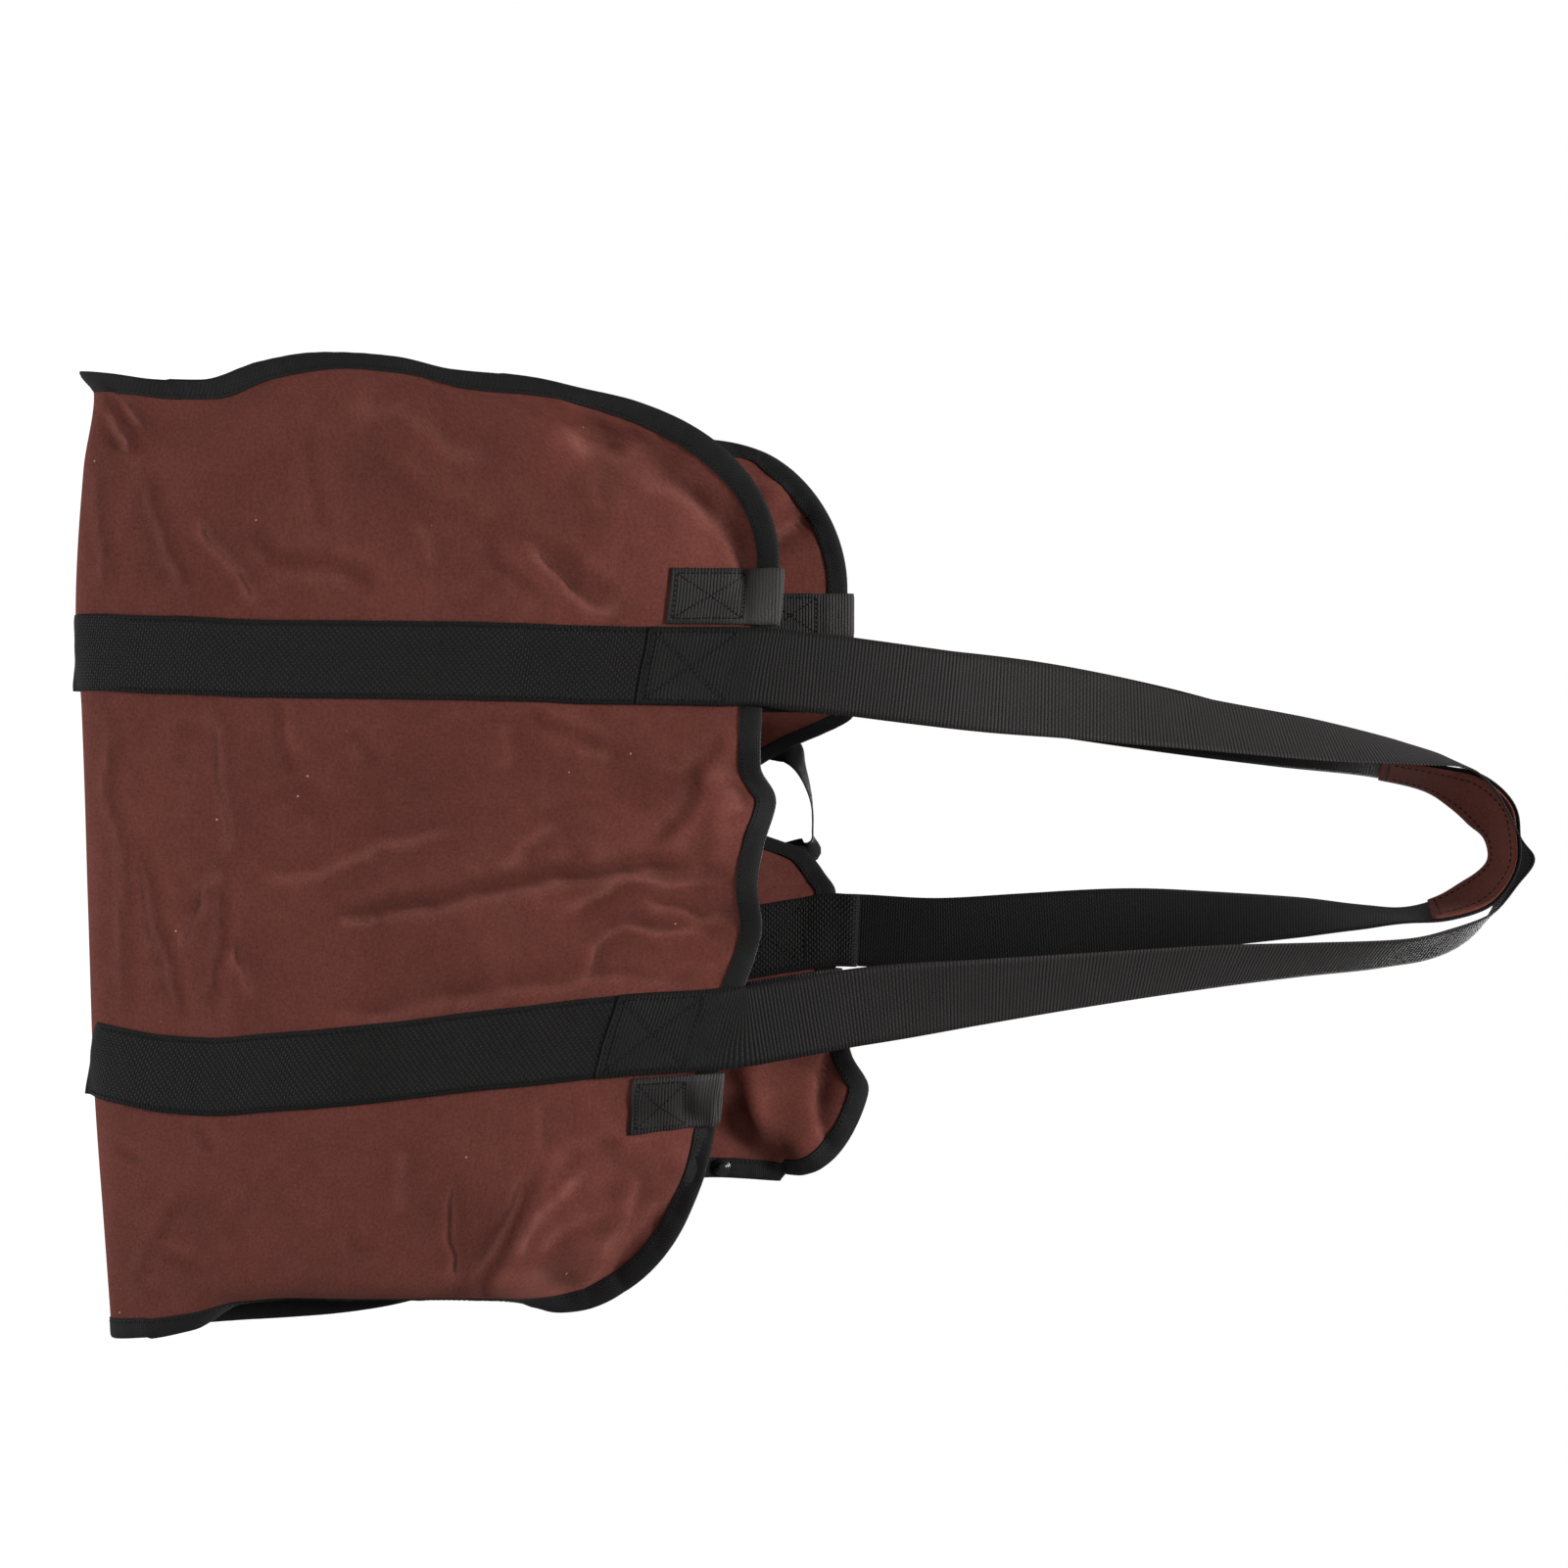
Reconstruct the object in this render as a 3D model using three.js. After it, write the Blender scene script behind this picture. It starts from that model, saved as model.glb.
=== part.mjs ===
// Canvas log carrier, hanging by its two handles.
//
// One long sheet of canvas is folded in a U that opens upward. Black tape binds its whole edge, two
// webbing straps run down the outside, round the bottom fold and up again, and each panel has a
// webbing handle sewn over the straps. The handles turn edge-on as they rise and nest at the top,
// where canvas lines the underside of the inner one.
//
// Millimetres, +Z up, +X across the width, -Y toward the front panel. The origin is on the underside
// of the inner grip, at the top of its arch, where a hand or a hook carries the carrier.
import * as THREE from "three";

// Driving dimensions
const canvas_width = 630; // across the flat sheet
const front_height = 450; // bottom fold to the front top edge, at the left strap
const back_height = 510; // bottom fold to the back top edge
const corner_radius = 115; // across the sheet, at each rounded corner
const canvas_thickness = 1.5;
const fold_height = 42; // height of the rounded stretch at the bottom fold
const fold_depth = 27; // how far each panel stands off there
const front_lean = 38; // what the front panel adds to that higher up
const back_lean = 60; // what the back panel adds
const side_pinch = 0.45; // how much flatter the bottom fold is at the side edges

const webbing_width = 50;
const webbing_thickness = 1.6;
const strap_spacing = 266; // between the centre lines of the two straps
const strap_tab = 75; // length of each strap end that is turned inside
const edge_step = 13; // height above a top edge from where a strap and its handle are in line
const front_tab_rise = 33; // from there up to the fold of the strap's front end
const back_tab_rise = 1.5; // and of its back end
const handle_overlap = 78; // length of handle sewn on the strap
const handle_drop = 487; // from the grip down to the front top edge
const grip_thickness = 1.5; // canvas lining under the inner handle's grip
const grip_width = 47;

const binding_width = 12.5; // one leg of the folded tape
const binding_thickness = 0.8;
const loop_width = 36; // side loops
const loop_spacing = 2; // between a side loop and the strap beside it
const hang_tape_width = 20;
const hang_tape_thickness = 1.2;
const hang_leg = 22; // length of the hanging loop's ends on the canvas
const hang_rise = 16; // how far it stands above the edge
const stud_diameter = 12;
const stud_height = 4;
const stud_clearance = 0.3;
const front_loop_rise = 0.4; // how far a side loop stands above the front edge
const back_loop_rise = 2; // and above the back edge

const gap = 0.4; // between layers that are sewn together
const pucker = 11; // depth of the two waves along the front top edge
const pucker_fade = 95; // height over which they fade
const back_fold = 58; // how far the back panel's middle stands out at its top edge
const back_fold_fade = 150;

const half_width = canvas_width / 2;
const half_spacing = strap_spacing / 2;
const half_webbing = webbing_width / 2;
const corner_start = half_width - corner_radius;
const bottom_z = -(handle_drop + front_height);
const radians = Math.PI / 180;
const loop_rise = { front: front_loop_rise, back: back_loop_rise };
const hang_legs = [-0.47, 0.39].map((share) => share * half_spacing);
const hang_layer = canvas_thickness / 2 + 2.5 * gap + hang_tape_thickness / 2;
const stud_place = 0.83; // height of the stud on the back panel, share of its side edge
const dent_fade = { from: 0.02, to: 0.15 }; // share of a panel's height over which dents come in

// Height of the bottom fold, across the sheet. across: share of the half width. rise: share of
// front_height above the lowest point.
const bottom_rows = [
  { across: -1, rise: 0.004 },
  { across: -0.955, rise: 0.026 },
  { across: -0.8, rise: 0.011 },
  { across: -0.5, rise: 0 },
  { across: -0.3, rise: 0.009 },
  { across: 0.1, rise: 0.018 },
  { across: 0.45, rise: 0.026 },
  { across: 0.75, rise: 0.04 },
  { across: 1, rise: 0.052 },
];

// Height of the two top edges, without the rounded corners. across: share of the half width. front
// and back: share of that panel's height above or below its named height.
const edge_rows = [
  { across: -1, front: 0.022, back: -0.012 },
  { across: -0.635, front: 0.025, back: -0.004 },
  { across: -0.5, front: 0.018, back: -0.004 },
  { across: -0.34, front: 0, back: 0.006 },
  { across: -0.2, front: -0.002, back: -0.092 },
  { across: -0.117, front: 0.02, back: -0.142 },
  { across: 0, front: 0.002, back: -0.163 },
  { across: 0.09, front: -0.006, back: -0.126 },
  { across: 0.19, front: 0, back: -0.056 },
  { across: 0.27, front: -0.01, back: -0.034 },
  { across: 0.34, front: -0.025, back: -0.02 },
  { across: 0.5, front: -0.058, back: -0.02 },
  { across: 0.6, front: -0.066, back: -0.014 },
  { across: 0.71, front: -0.075, back: 0.003 },
  { across: 0.8, front: -0.08, back: 0.036 },
  { across: 1, front: -0.08, back: 0.034 },
];

// How far the top edge has dropped where a rounded corner meets the side, share of the panel's
// height.
const corner_drop = {
  front: { left: 0.35, right: 0.23 },
  back: { left: 0.16, right: 0.115 },
};

// Sections of each panel, from the bottom fold up. height: share of the panel's height. left and
// right: the side edges, share of the half width. left_strap and right_strap: centre lines of the
// straps, share of their half spacing. lean: share of the panel's lean.
const front_sections = [
  { height: 0, left: -1.02, left_strap: -1.03, right_strap: 0.96, right: 0.99, lean: 0 },
  { height: 0.06, left: -1.008, left_strap: -1.022, right_strap: 0.99, right: 0.98, lean: 0.04 },
  { height: 0.12, left: -0.995, left_strap: -1.01, right_strap: 1.02, right: 0.96, lean: 0.14 },
  { height: 0.19, left: -0.99, left_strap: -1.003, right_strap: 1.03, right: 0.945, lean: 0.3 },
  { height: 0.28, left: -1.04, left_strap: -0.985, right_strap: 1.0, right: 0.945, lean: 0.48 },
  { height: 0.38, left: -1.066, left_strap: -0.98, right_strap: 0.97, right: 0.945, lean: 0.64 },
  { height: 0.47, left: -1.05, left_strap: -0.975, right_strap: 0.94, right: 0.945, lean: 0.78 },
  { height: 0.56, left: -1.005, left_strap: -0.968, right_strap: 0.9, right: 0.943, lean: 0.9 },
  { height: 0.66, left: -0.985, left_strap: -0.96, right_strap: 0.86, right: 0.936, lean: 0.98 },
  { height: 0.76, left: -0.968, left_strap: -0.948, right_strap: 0.82, right: 0.93, lean: 1 },
  { height: 1, left: -0.98, left_strap: -0.932, right_strap: 0.767, right: 0.925, lean: 0.93 },
];
const back_sections = [
  { height: 0, left: -1.02, left_strap: -1.03, right_strap: 0.96, right: 0.99, lean: 0 },
  { height: 0.06, left: -1.01, left_strap: -1.02, right_strap: 0.955, right: 0.98, lean: 0.04 },
  { height: 0.15, left: -1.0, left_strap: -1.0, right_strap: 0.945, right: 0.975, lean: 0.2 },
  { height: 0.3, left: -0.985, left_strap: -0.985, right_strap: 0.9, right: 0.965, lean: 0.46 },
  { height: 0.45, left: -0.97, left_strap: -0.975, right_strap: 0.8, right: 0.915, lean: 0.68 },
  { height: 0.6, left: -0.95, left_strap: -0.965, right_strap: 0.67, right: 0.76, lean: 0.86 },
  { height: 0.75, left: -0.925, left_strap: -0.955, right_strap: 0.52, right: 0.665, lean: 0.97 },
  { height: 0.88, left: -0.905, left_strap: -0.95, right_strap: 0.42, right: 0.69, lean: 1 },
  { height: 1, left: -0.9, left_strap: -0.947, right_strap: 0.35, right: 0.7, lean: 0.96 },
];

// How far each panel's side edges are rolled back, in degrees, by share of the panel's height.
const front_rolls = [
  { height: 0.06, left: 0, right: 0 },
  { height: 0.12, left: 0, right: 25 },
  { height: 0.19, left: 5, right: 95 },
  { height: 0.28, left: 20, right: 120 },
  { height: 0.38, left: 30, right: 120 },
  { height: 0.47, left: 20, right: 120 },
  { height: 0.56, left: 5, right: 110 },
  { height: 0.66, left: 0, right: 35 },
  { height: 0.76, left: 0, right: 0 },
];
const back_rolls = [
  { height: 0.06, left: 0, right: 0 },
  { height: 0.15, left: 10, right: 0 },
  { height: 0.3, left: 25, right: 15 },
  { height: 0.45, left: 25, right: 30 },
  { height: 0.6, left: 15, right: 25 },
  { height: 0.75, left: 0, right: 5 },
  { height: 0.88, left: 0, right: 0 },
];
const roll_width = 36; // width of the strip along each side edge that rolls back

// Soft dents and ridges of the cloth. across: share of the half width. height: share of the panel's
// height. angle: of the ridge from upright, in degrees. length and width: half sizes, share of the
// half width. depth: share of fold_depth, outward where positive.
const dent_rows = [
  { panel: "front", across: -0.9, height: 0.22, angle: -28, length: 0.3, width: 0.06, depth: 0.3 },
  { panel: "front", across: -0.72, height: 0.38, angle: 35, length: 0.42, width: 0.09, depth: -0.3 },
  { panel: "front", across: -0.7, height: 0.75, angle: -50, length: 0.4, width: 0.1, depth: 0.22 },
  { panel: "front", across: -0.1, height: 0.82, angle: 62, length: 0.34, width: 0.07, depth: -0.34 },
  { panel: "front", across: 0.1, height: 0.66, angle: -38, length: 0.4, width: 0.07, depth: 0.3 },
  { panel: "front", across: -0.08, height: 0.4, angle: 20, length: 0.5, width: 0.11, depth: -0.3 },
  { panel: "front", across: 0.66, height: 0.34, angle: -30, length: 0.4, width: 0.09, depth: -0.34 },
  { panel: "front", across: 0.76, height: 0.62, angle: 30, length: 0.36, width: 0.08, depth: 0.3 },
  { panel: "back", across: -0.7, height: 0.7, angle: 30, length: 0.4, width: 0.1, depth: 0.4 },
  { panel: "back", across: 0.7, height: 0.76, angle: -40, length: 0.4, width: 0.13, depth: -0.4 },
  { panel: "back", across: 0.1, height: 0.45, angle: 0, length: 0.6, width: 0.14, depth: 0.4 },
  { panel: "back", across: -0.1, height: 0.7, angle: 15, length: 0.3, width: 0.08, depth: -0.35 },
];

// Free stretch of each handle, from the left strap over the grip to the right one. down: share of
// that handle's drop below the grip. across: share of the straps' half spacing. depth: share of the
// handle's depth at its panel. turn: direction of the width, 0 or 180 flat on the panel and 90 edge-on.
const front_handle_rows = [
  { down: 0.86, across: -0.885, depth: 0.87, turn: 1 },
  { down: 0.715, across: -0.82, depth: 0.73, turn: 9 },
  { down: 0.58, across: -0.77, depth: 0.59, turn: 23 },
  { down: 0.42, across: -0.682, depth: 0.42, turn: 44 },
  { down: 0.25, across: -0.6, depth: 0.24, turn: 56 },
  { down: 0.13, across: -0.54, depth: 0.11, turn: 71 },
  { down: 0.06, across: -0.488, depth: 0.04, turn: 82 },
  { down: 0.022, across: -0.39, depth: 0.01, turn: 88 },
  { down: -0.003, across: -0.28, depth: 0, turn: 84 },
  { down: -0.022, across: -0.13, depth: 0, turn: 80 },
  { down: -0.032, across: -0.02, depth: 0, turn: 88 },
  { down: -0.01, across: 0.125, depth: 0, turn: 92 },
  { down: 0.01, across: 0.25, depth: 0, turn: 94 },
  { down: 0.04, across: 0.345, depth: 0.01, turn: 100 },
  { down: 0.085, across: 0.41, depth: 0.05, turn: 110 },
  { down: 0.15, across: 0.452, depth: 0.13, turn: 115 },
  { down: 0.27, across: 0.48, depth: 0.25, turn: 120 },
  { down: 0.4, across: 0.51, depth: 0.4, turn: 128 },
  { down: 0.56, across: 0.563, depth: 0.57, turn: 138 },
  { down: 0.715, across: 0.62, depth: 0.73, turn: 152 },
  { down: 0.88, across: 0.685, depth: 0.89, turn: 176 },
];
const back_handle_rows = [
  { down: 0.84, across: -0.885, depth: 0.86, turn: 178 },
  { down: 0.7, across: -0.825, depth: 0.71, turn: 168 },
  { down: 0.5, across: -0.705, depth: 0.5, turn: 148 },
  { down: 0.32, across: -0.578, depth: 0.32, turn: 124 },
  { down: 0.17, across: -0.467, depth: 0.16, turn: 105 },
  { down: 0.1, across: -0.412, depth: 0.06, turn: 103 },
  { down: 0.05, across: -0.345, depth: 0.02, turn: 108 },
  { down: 0.014, across: -0.235, depth: 0, turn: 110 },
  { down: -0.003, across: -0.12, depth: 0, turn: 100 },
  { down: -0.0063, across: 0, depth: 0, turn: 92 },
  { down: 0.008, across: 0.08, depth: 0, turn: 85 },
  { down: 0.04, across: 0.17, depth: 0, turn: 76 },
  { down: 0.085, across: 0.235, depth: 0.02, turn: 78 },
  { down: 0.14, across: 0.268, depth: 0.09, turn: 83 },
  { down: 0.2, across: 0.28, depth: 0.17, turn: 76 },
  { down: 0.29, across: 0.285, depth: 0.28, turn: 63 },
  { down: 0.42, across: 0.3, depth: 0.42, turn: 47 },
  { down: 0.57, across: 0.325, depth: 0.57, turn: 24 },
  { down: 0.72, across: 0.365, depth: 0.72, turn: 10 },
  { down: 0.86, across: 0.395, depth: 0.86, turn: 2 },
];

// Free stretch of the hanging loop. along: share of the way between its ends. rise: share of
// hang_rise. turn: direction of the tape's width, 0 or 180 flat on the panel and 90 edge-on.
const hang_rows = [
  { along: 0.02, rise: 0.4, turn: 6 },
  { along: 0.22, rise: 0.8, turn: 45 },
  { along: 0.5, rise: 1, turn: 68 },
  { along: 0.78, rise: 0.85, turn: 125 },
  { along: 0.98, rise: 0.6, turn: 178 },
];

// The side loops. leg: length of its ends on the canvas.
const loop_rows = [
  { panel: "front", side: "left", leg: 68 },
  { panel: "front", side: "right", leg: 54 },
  { panel: "back", side: "left", leg: 60 },
  { panel: "back", side: "right", leg: 60 },
];

// How far down the lining reaches on each side, share of the inner handle's drop below the grip.
const grip_reach = { left: 0.18, right: 0.11 };

// The stud's half section, from its face on the cloth to the middle of its cap. out: share of its
// radius. up: share of its height.
const stud_rows = [
  { out: 0, up: 0 },
  { out: 0.86, up: 0 },
  { out: 1, up: 0.12 },
  { out: 1, up: 0.3 },
  { out: 0.8, up: 0.42 },
  { out: 0.62, up: 0.5 },
  { out: 0.58, up: 0.8 },
  { out: 0.36, up: 0.97 },
  { out: 0, up: 1 },
];

// Fineness of the surfaces
const bend_angles = [20, 40, 62, 90]; // rows round the bottom fold, in degrees
const panel_steps = 10; // rows from there up to the last one below the binding
const last_step = 8; // height of the row below the binding
const free_steps = 56; // along the free stretch of a handle
const hang_steps = 16; // along the hanging loop
const stud_sides = 14;
const least_step = 0.004; // between a leg's end and the next row, share of the panel

// Materials
const colours = { canvas: 0x5b2a22, webbing: 0x1b1a1a, metal: 0x0c0c0d };
const cloth_finish = { roughness: 0.95, metalness: 0 };
const webbing_finish = { roughness: 0.75, metalness: 0 };
const stud_finish = { roughness: 0.25, metalness: 0.3 };

const carrier = new THREE.Group();
carrier.name = "canvas_log_carrier";

function add(name, geometry, color, finish) {
  const mesh = new THREE.Mesh(geometry, new THREE.MeshStandardMaterial({ color, ...finish }));
  mesh.name = name;
  carrier.add(mesh);
  return mesh;
}

// Smooth value of one column of a table at a place along another column, without overshoot.
function read(rows, key, at, column) {
  const last = rows.length - 1;
  if (at <= rows[0][key]) return rows[0][column];
  if (at >= rows[last][key]) return rows[last][column];
  let i = 0;
  while (rows[i + 1][key] < at) i += 1;
  const slope = (k) => (rows[k + 1][column] - rows[k][column]) / (rows[k + 1][key] - rows[k][key]);
  const tangent = (k) => {
    if (k === 0) return slope(0);
    if (k === last) return slope(last - 1);
    const before = slope(k - 1);
    const after = slope(k);
    return before * after <= 0 ? 0 : (2 * before * after) / (before + after);
  };
  const step = rows[i + 1][key] - rows[i][key];
  const t = (at - rows[i][key]) / step;
  return (
    rows[i][column] * (1 + 2 * t) * (1 - t) ** 2 +
    tangent(i) * step * t * (1 - t) ** 2 +
    rows[i + 1][column] * t * t * (3 - 2 * t) +
    tangent(i + 1) * step * t * t * (t - 1)
  );
}

function smooth(from, to, value) {
  const t = Math.min(Math.max((value - from) / (to - from), 0), 1);
  return t * t * (3 - 2 * t);
}

// The canvas

const panels = {
  front: {
    sign: -1,
    height: front_height,
    lean: front_lean,
    sections: front_sections,
    rolls: front_rolls,
  },
  back: {
    sign: 1,
    height: back_height,
    lean: back_lean,
    sections: back_sections,
    rolls: back_rolls,
  },
};

function bottomHeight(x) {
  return bottom_z + front_height * read(bottom_rows, "across", x / half_width, "rise");
}

// Height of a panel's outline. inset is 0 on the cut edge and the binding's width at its inner edge.
function topHeight(x, name, inset = 0) {
  const panel = panels[name];
  const t = Math.min(Math.max((Math.abs(x) - corner_start) / (corner_radius - inset), 0), 1);
  const drop = corner_drop[name][x < 0 ? "left" : "right"] * panel.height - inset;
  const line = bottom_z + panel.height * (1 + read(edge_rows, "across", x / half_width, name));
  return line - inset - drop * (1 - Math.sqrt(1 - t * t));
}

// Where a point of the flat sheet lies across the carrier, before its side edges roll back.
const strap_inner = half_spacing - half_webbing;
const strap_outer = half_spacing + half_webbing;
function acrossAt(x, section) {
  const left = section.left_strap * half_spacing;
  const right = section.right_strap * half_spacing;
  const stops = [
    [-half_width, section.left * half_width],
    [-strap_outer, left - half_webbing],
    [-strap_inner, left + half_webbing],
    [strap_inner, right - half_webbing],
    [strap_outer, right + half_webbing],
    [half_width, section.right * half_width],
  ];
  let i = 0;
  while (i < stops.length - 2 && x > stops[i + 1][0]) i += 1;
  const [from, to] = [stops[i], stops[i + 1]];
  return from[1] + ((to[1] - from[1]) * (x - from[0])) / (to[0] - from[0]);
}

function dents(x, share, name) {
  let depth = 0;
  for (const dent of dent_rows.filter((row) => row.panel === name)) {
    const dx = x / half_width - dent.across;
    const dz = ((share - dent.height) * panels[name].height) / half_width;
    const c = Math.cos(dent.angle * radians);
    const s = Math.sin(dent.angle * radians);
    const along = (dx * s + dz * c) / dent.length;
    const beside = (dx * c - dz * s) / dent.width;
    depth += dent.depth * fold_depth * Math.exp(-along * along - beside * beside);
  }
  return depth * smooth(dent_fade.from, dent_fade.to, share);
}

// Point of the canvas: x across the flat sheet, rise above the bottom fold there, and the panel.
function canvasPoint(x, rise, name) {
  const panel = panels[name];
  const height = rise / panel.height;
  const section = {};
  for (const column of Object.keys(panel.sections[0])) {
    section[column] = read(panel.sections, "height", height, column);
  }
  const pinch = 1 - side_pinch * smooth(corner_start, half_width, Math.abs(x));
  const belly = Math.sqrt(1 - (1 - Math.min(rise / fold_height, 1)) ** 2);
  let out = fold_depth * pinch * belly + panel.lean * section.lean + dents(x, height, name);
  if (Math.abs(x) < strap_inner) {
    const below = (1 - height) * panel.height;
    const phase = ((x + strap_inner) / (2 * strap_inner)) * Math.PI;
    if (name === "front") out += pucker * Math.sin(4 * phase) * Math.exp(-below / pucker_fade);
    else out += back_fold * Math.sin(phase) ** 2 * Math.exp(-below / back_fold_fade);
  }
  const angle = read(panel.rolls, "height", height, x < 0 ? "left" : "right") * radians;
  const roll_start = half_width - roll_width;
  const beyond = Math.abs(x) - roll_start;
  let across = acrossAt(x, section);
  if (beyond > 0 && angle > 0.01) {
    const bend = angle / roll_width;
    const turned = Math.sin(bend * beyond) / bend;
    across = acrossAt(Math.sign(x) * roll_start, section) + Math.sign(x) * turned;
    out -= (1 - Math.cos(bend * beyond)) / bend;
  }
  return new THREE.Vector3(across, panel.sign * out, bottomHeight(x) + rise);
}

function spread(from, to, count) {
  return Array.from({ length: count }, (_, i) => from + ((to - from) * (i + 1)) / count);
}

// Columns across the flat sheet, out to the binding's inner edge. The straps' edges lie on columns.
const inner_radius = corner_radius - binding_width;
const half_columns = [
  ...spread(0, strap_inner, 7),
  ...spread(strap_inner, strap_outer, 2),
  ...spread(strap_outer, corner_start, 2),
  ...spread(0, 90, 6).map((angle) => corner_start + inner_radius * Math.sin(angle * radians)),
];
const columns = [...half_columns.map((x) => -x).reverse(), 0, ...half_columns];

// Rows down the sheet: place 0 is the bottom fold, and 1 and -1 the binding's inner edge at the back
// and at the front. The cut edges are one row further, at edge_place and -edge_place.
const edge_place = 1.05;
function panelRows(height) {
  const bend = bend_angles.map((a) => (fold_height / height) * (1 - Math.cos(a * radians)));
  return [...bend, ...spread(bend[bend.length - 1], 1 - last_step / height, panel_steps), 1];
}
const front_places = panelRows(front_height).map((share) => -share).reverse();
const inner_places = [...front_places, 0, ...panelRows(back_height)];
const places = [-edge_place, ...inner_places, edge_place];

function panelName(place) {
  return place < 0 ? "front" : "back";
}

function innerLength(x, name) {
  return topHeight(x, name, binding_width) - bottomHeight(x);
}

// Point of the cut edge beside a point of the binding's inner edge.
function edgePoint(x, name) {
  const t = Math.min(Math.max((Math.abs(x) - corner_start) / inner_radius, 0), 1);
  const out = x + Math.sign(x) * t * binding_width;
  return canvasPoint(out, topHeight(out, name) - bottomHeight(out), name);
}

function sidePoint(side, place) {
  const name = panelName(place);
  const rise = Math.abs(place) * innerLength(side * (half_width - binding_width), name);
  return canvasPoint(side * half_width, rise, name);
}

const canvas = [
  columns.map((x) => edgePoint(x, "front")),
  ...inner_places.map((place) => {
    const name = panelName(place);
    return columns.map((x) => canvasPoint(x, Math.abs(place) * innerLength(x, name), name));
  }),
  columns.map((x) => edgePoint(x, "back")),
];

// Quads of a grid. A quad lists its corners so that the first and third share its diagonal.
function gridQuads(rows, wide, flips = []) {
  const quads = [];
  for (let i = 0; i + 1 < rows; i += 1) {
    for (let j = 0; j + 1 < wide; j += 1) {
      const a = i * wide + j;
      if (flips[i]) quads.push([a + wide, a + wide + 1, a + 1, a]);
      else quads.push([a, a + wide, a + wide + 1, a + 1]);
    }
  }
  return quads;
}

function vertexNormals(points, quads) {
  const list = points.map(() => new THREE.Vector3());
  for (const [a, b, c, d] of quads) {
    const normal = points[c].clone().sub(points[a]).cross(points[d].clone().sub(points[b]));
    for (const k of [a, b, c, d]) list[k].add(normal);
  }
  return list.map((normal) => normal.normalize());
}

function solid(points, faces) {
  const geometry = new THREE.BufferGeometry();
  const numbers = points.flatMap((p) => p.toArray());
  geometry.setAttribute("position", new THREE.Float32BufferAttribute(numbers, 3));
  geometry.setIndex(faces);
  geometry.computeVertexNormals();
  return geometry;
}

// A wall of even thickness round a sheet of quads, closed along the sheet's rim.
function wall(points, quads, thickness) {
  const normal = vertexNormals(points, quads);
  const shift = (side) =>
    points.map((p, k) => p.clone().addScaledVector(normal[k], (thickness * side) / 2));
  const size = points.length;
  const faces = [];
  const rim = new Map();
  for (const [a, b, c, d] of quads) {
    faces.push(a, b, c, a, c, d);
    faces.push(a + size, c + size, b + size, a + size, d + size, c + size);
    for (const [p, q] of [[a, b], [b, c], [c, d], [d, a]]) {
      if (rim.has(`${q},${p}`)) rim.delete(`${q},${p}`);
      else rim.set(`${p},${q}`, [p, q]);
    }
  }
  for (const [p, q] of rim.values()) faces.push(p, p + size, q + size, p, q + size, q);
  return solid([...shift(1), ...shift(-1)], faces);
}

// The canvas: the grid, and the strip beyond its first and last columns.
const wide = columns.length;
const side_rows = inner_places.slice(1, -1);
const canvas_points = [
  ...canvas.flat(),
  ...side_rows.map((place) => sidePoint(-1, place)),
  ...side_rows.map((place) => sidePoint(1, place)),
];
const grid_size = canvas.length * wide;
const last_row = canvas.length - 1;

// Index of the cut edge's point beside row i, on the left or right.
function sideIndex(side, i) {
  const column = side < 0 ? 0 : wide - 1;
  if (i <= 1) return column;
  if (i >= last_row - 1) return last_row * wide + column;
  return grid_size + (side < 0 ? 0 : side_rows.length) + i - 2;
}

const canvas_quads = gridQuads(canvas.length, wide);
for (let i = 1; i + 1 < last_row; i += 1) {
  const left = i * wide;
  const right = left + wide - 1;
  canvas_quads.push([sideIndex(-1, i + 1), left + wide, left, sideIndex(-1, i)]);
  canvas_quads.push([right + wide, sideIndex(1, i + 1), sideIndex(1, i), right]);
}
const canvas_normals = vertexNormals(canvas_points, canvas_quads);
add("canvas_body", wall(canvas_points, canvas_quads, canvas_thickness), colours.canvas, cloth_finish);

// The binding: a folded tape, one closed ring round the whole edge. Each station pairs a point of
// the cut edge with the point of the binding's inner edge beside it.
function edgeStations() {
  const across = columns.map((_, j) => j);
  const down = side_rows.map((_, i) => i + 2);
  return [
    ...across.map((j) => [j, wide + j]),
    ...down.map((i) => [sideIndex(1, i), i * wide + wide - 1]),
    ...across.reverse().map((j) => [last_row * wide + j, (last_row - 1) * wide + j]),
    ...down.reverse().map((i) => [sideIndex(-1, i), i * wide]),
  ];
}

function bindingGeometry() {
  const near = canvas_thickness / 2 + gap;
  const far = near + binding_thickness;
  const stations = edgeStations();
  const points = stations.flatMap(([edge, inner]) => {
    const out = canvas_points[edge].clone().sub(canvas_points[inner]).normalize();
    const at = (k, beyond, offset) =>
      canvas_points[k].clone().addScaledVector(out, beyond).addScaledVector(canvas_normals[k], offset);
    return [
      at(inner, 0, far),
      at(edge, gap + binding_thickness, far),
      at(edge, gap + binding_thickness, -far),
      at(inner, 0, -far),
      at(inner, 0, -near),
      at(edge, gap, -near),
      at(edge, gap, near),
      at(inner, 0, near),
    ];
  });
  const faces = [];
  const corners = 8;
  stations.forEach((_, k) => {
    const next = (k + 1) % stations.length;
    for (let c = 0; c < corners; c += 1) {
      const a = k * corners + c;
      const b = k * corners + ((c + 1) % corners);
      const d = next * corners + c;
      const e = next * corners + ((c + 1) % corners);
      if (c % 4 === 0) faces.push(a, d, b, b, d, e);
      else faces.push(a, e, b, a, d, e);
    }
  });
  return solid(points, faces);
}
add("edge_binding", bindingGeometry(), colours.webbing, webbing_finish);

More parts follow.
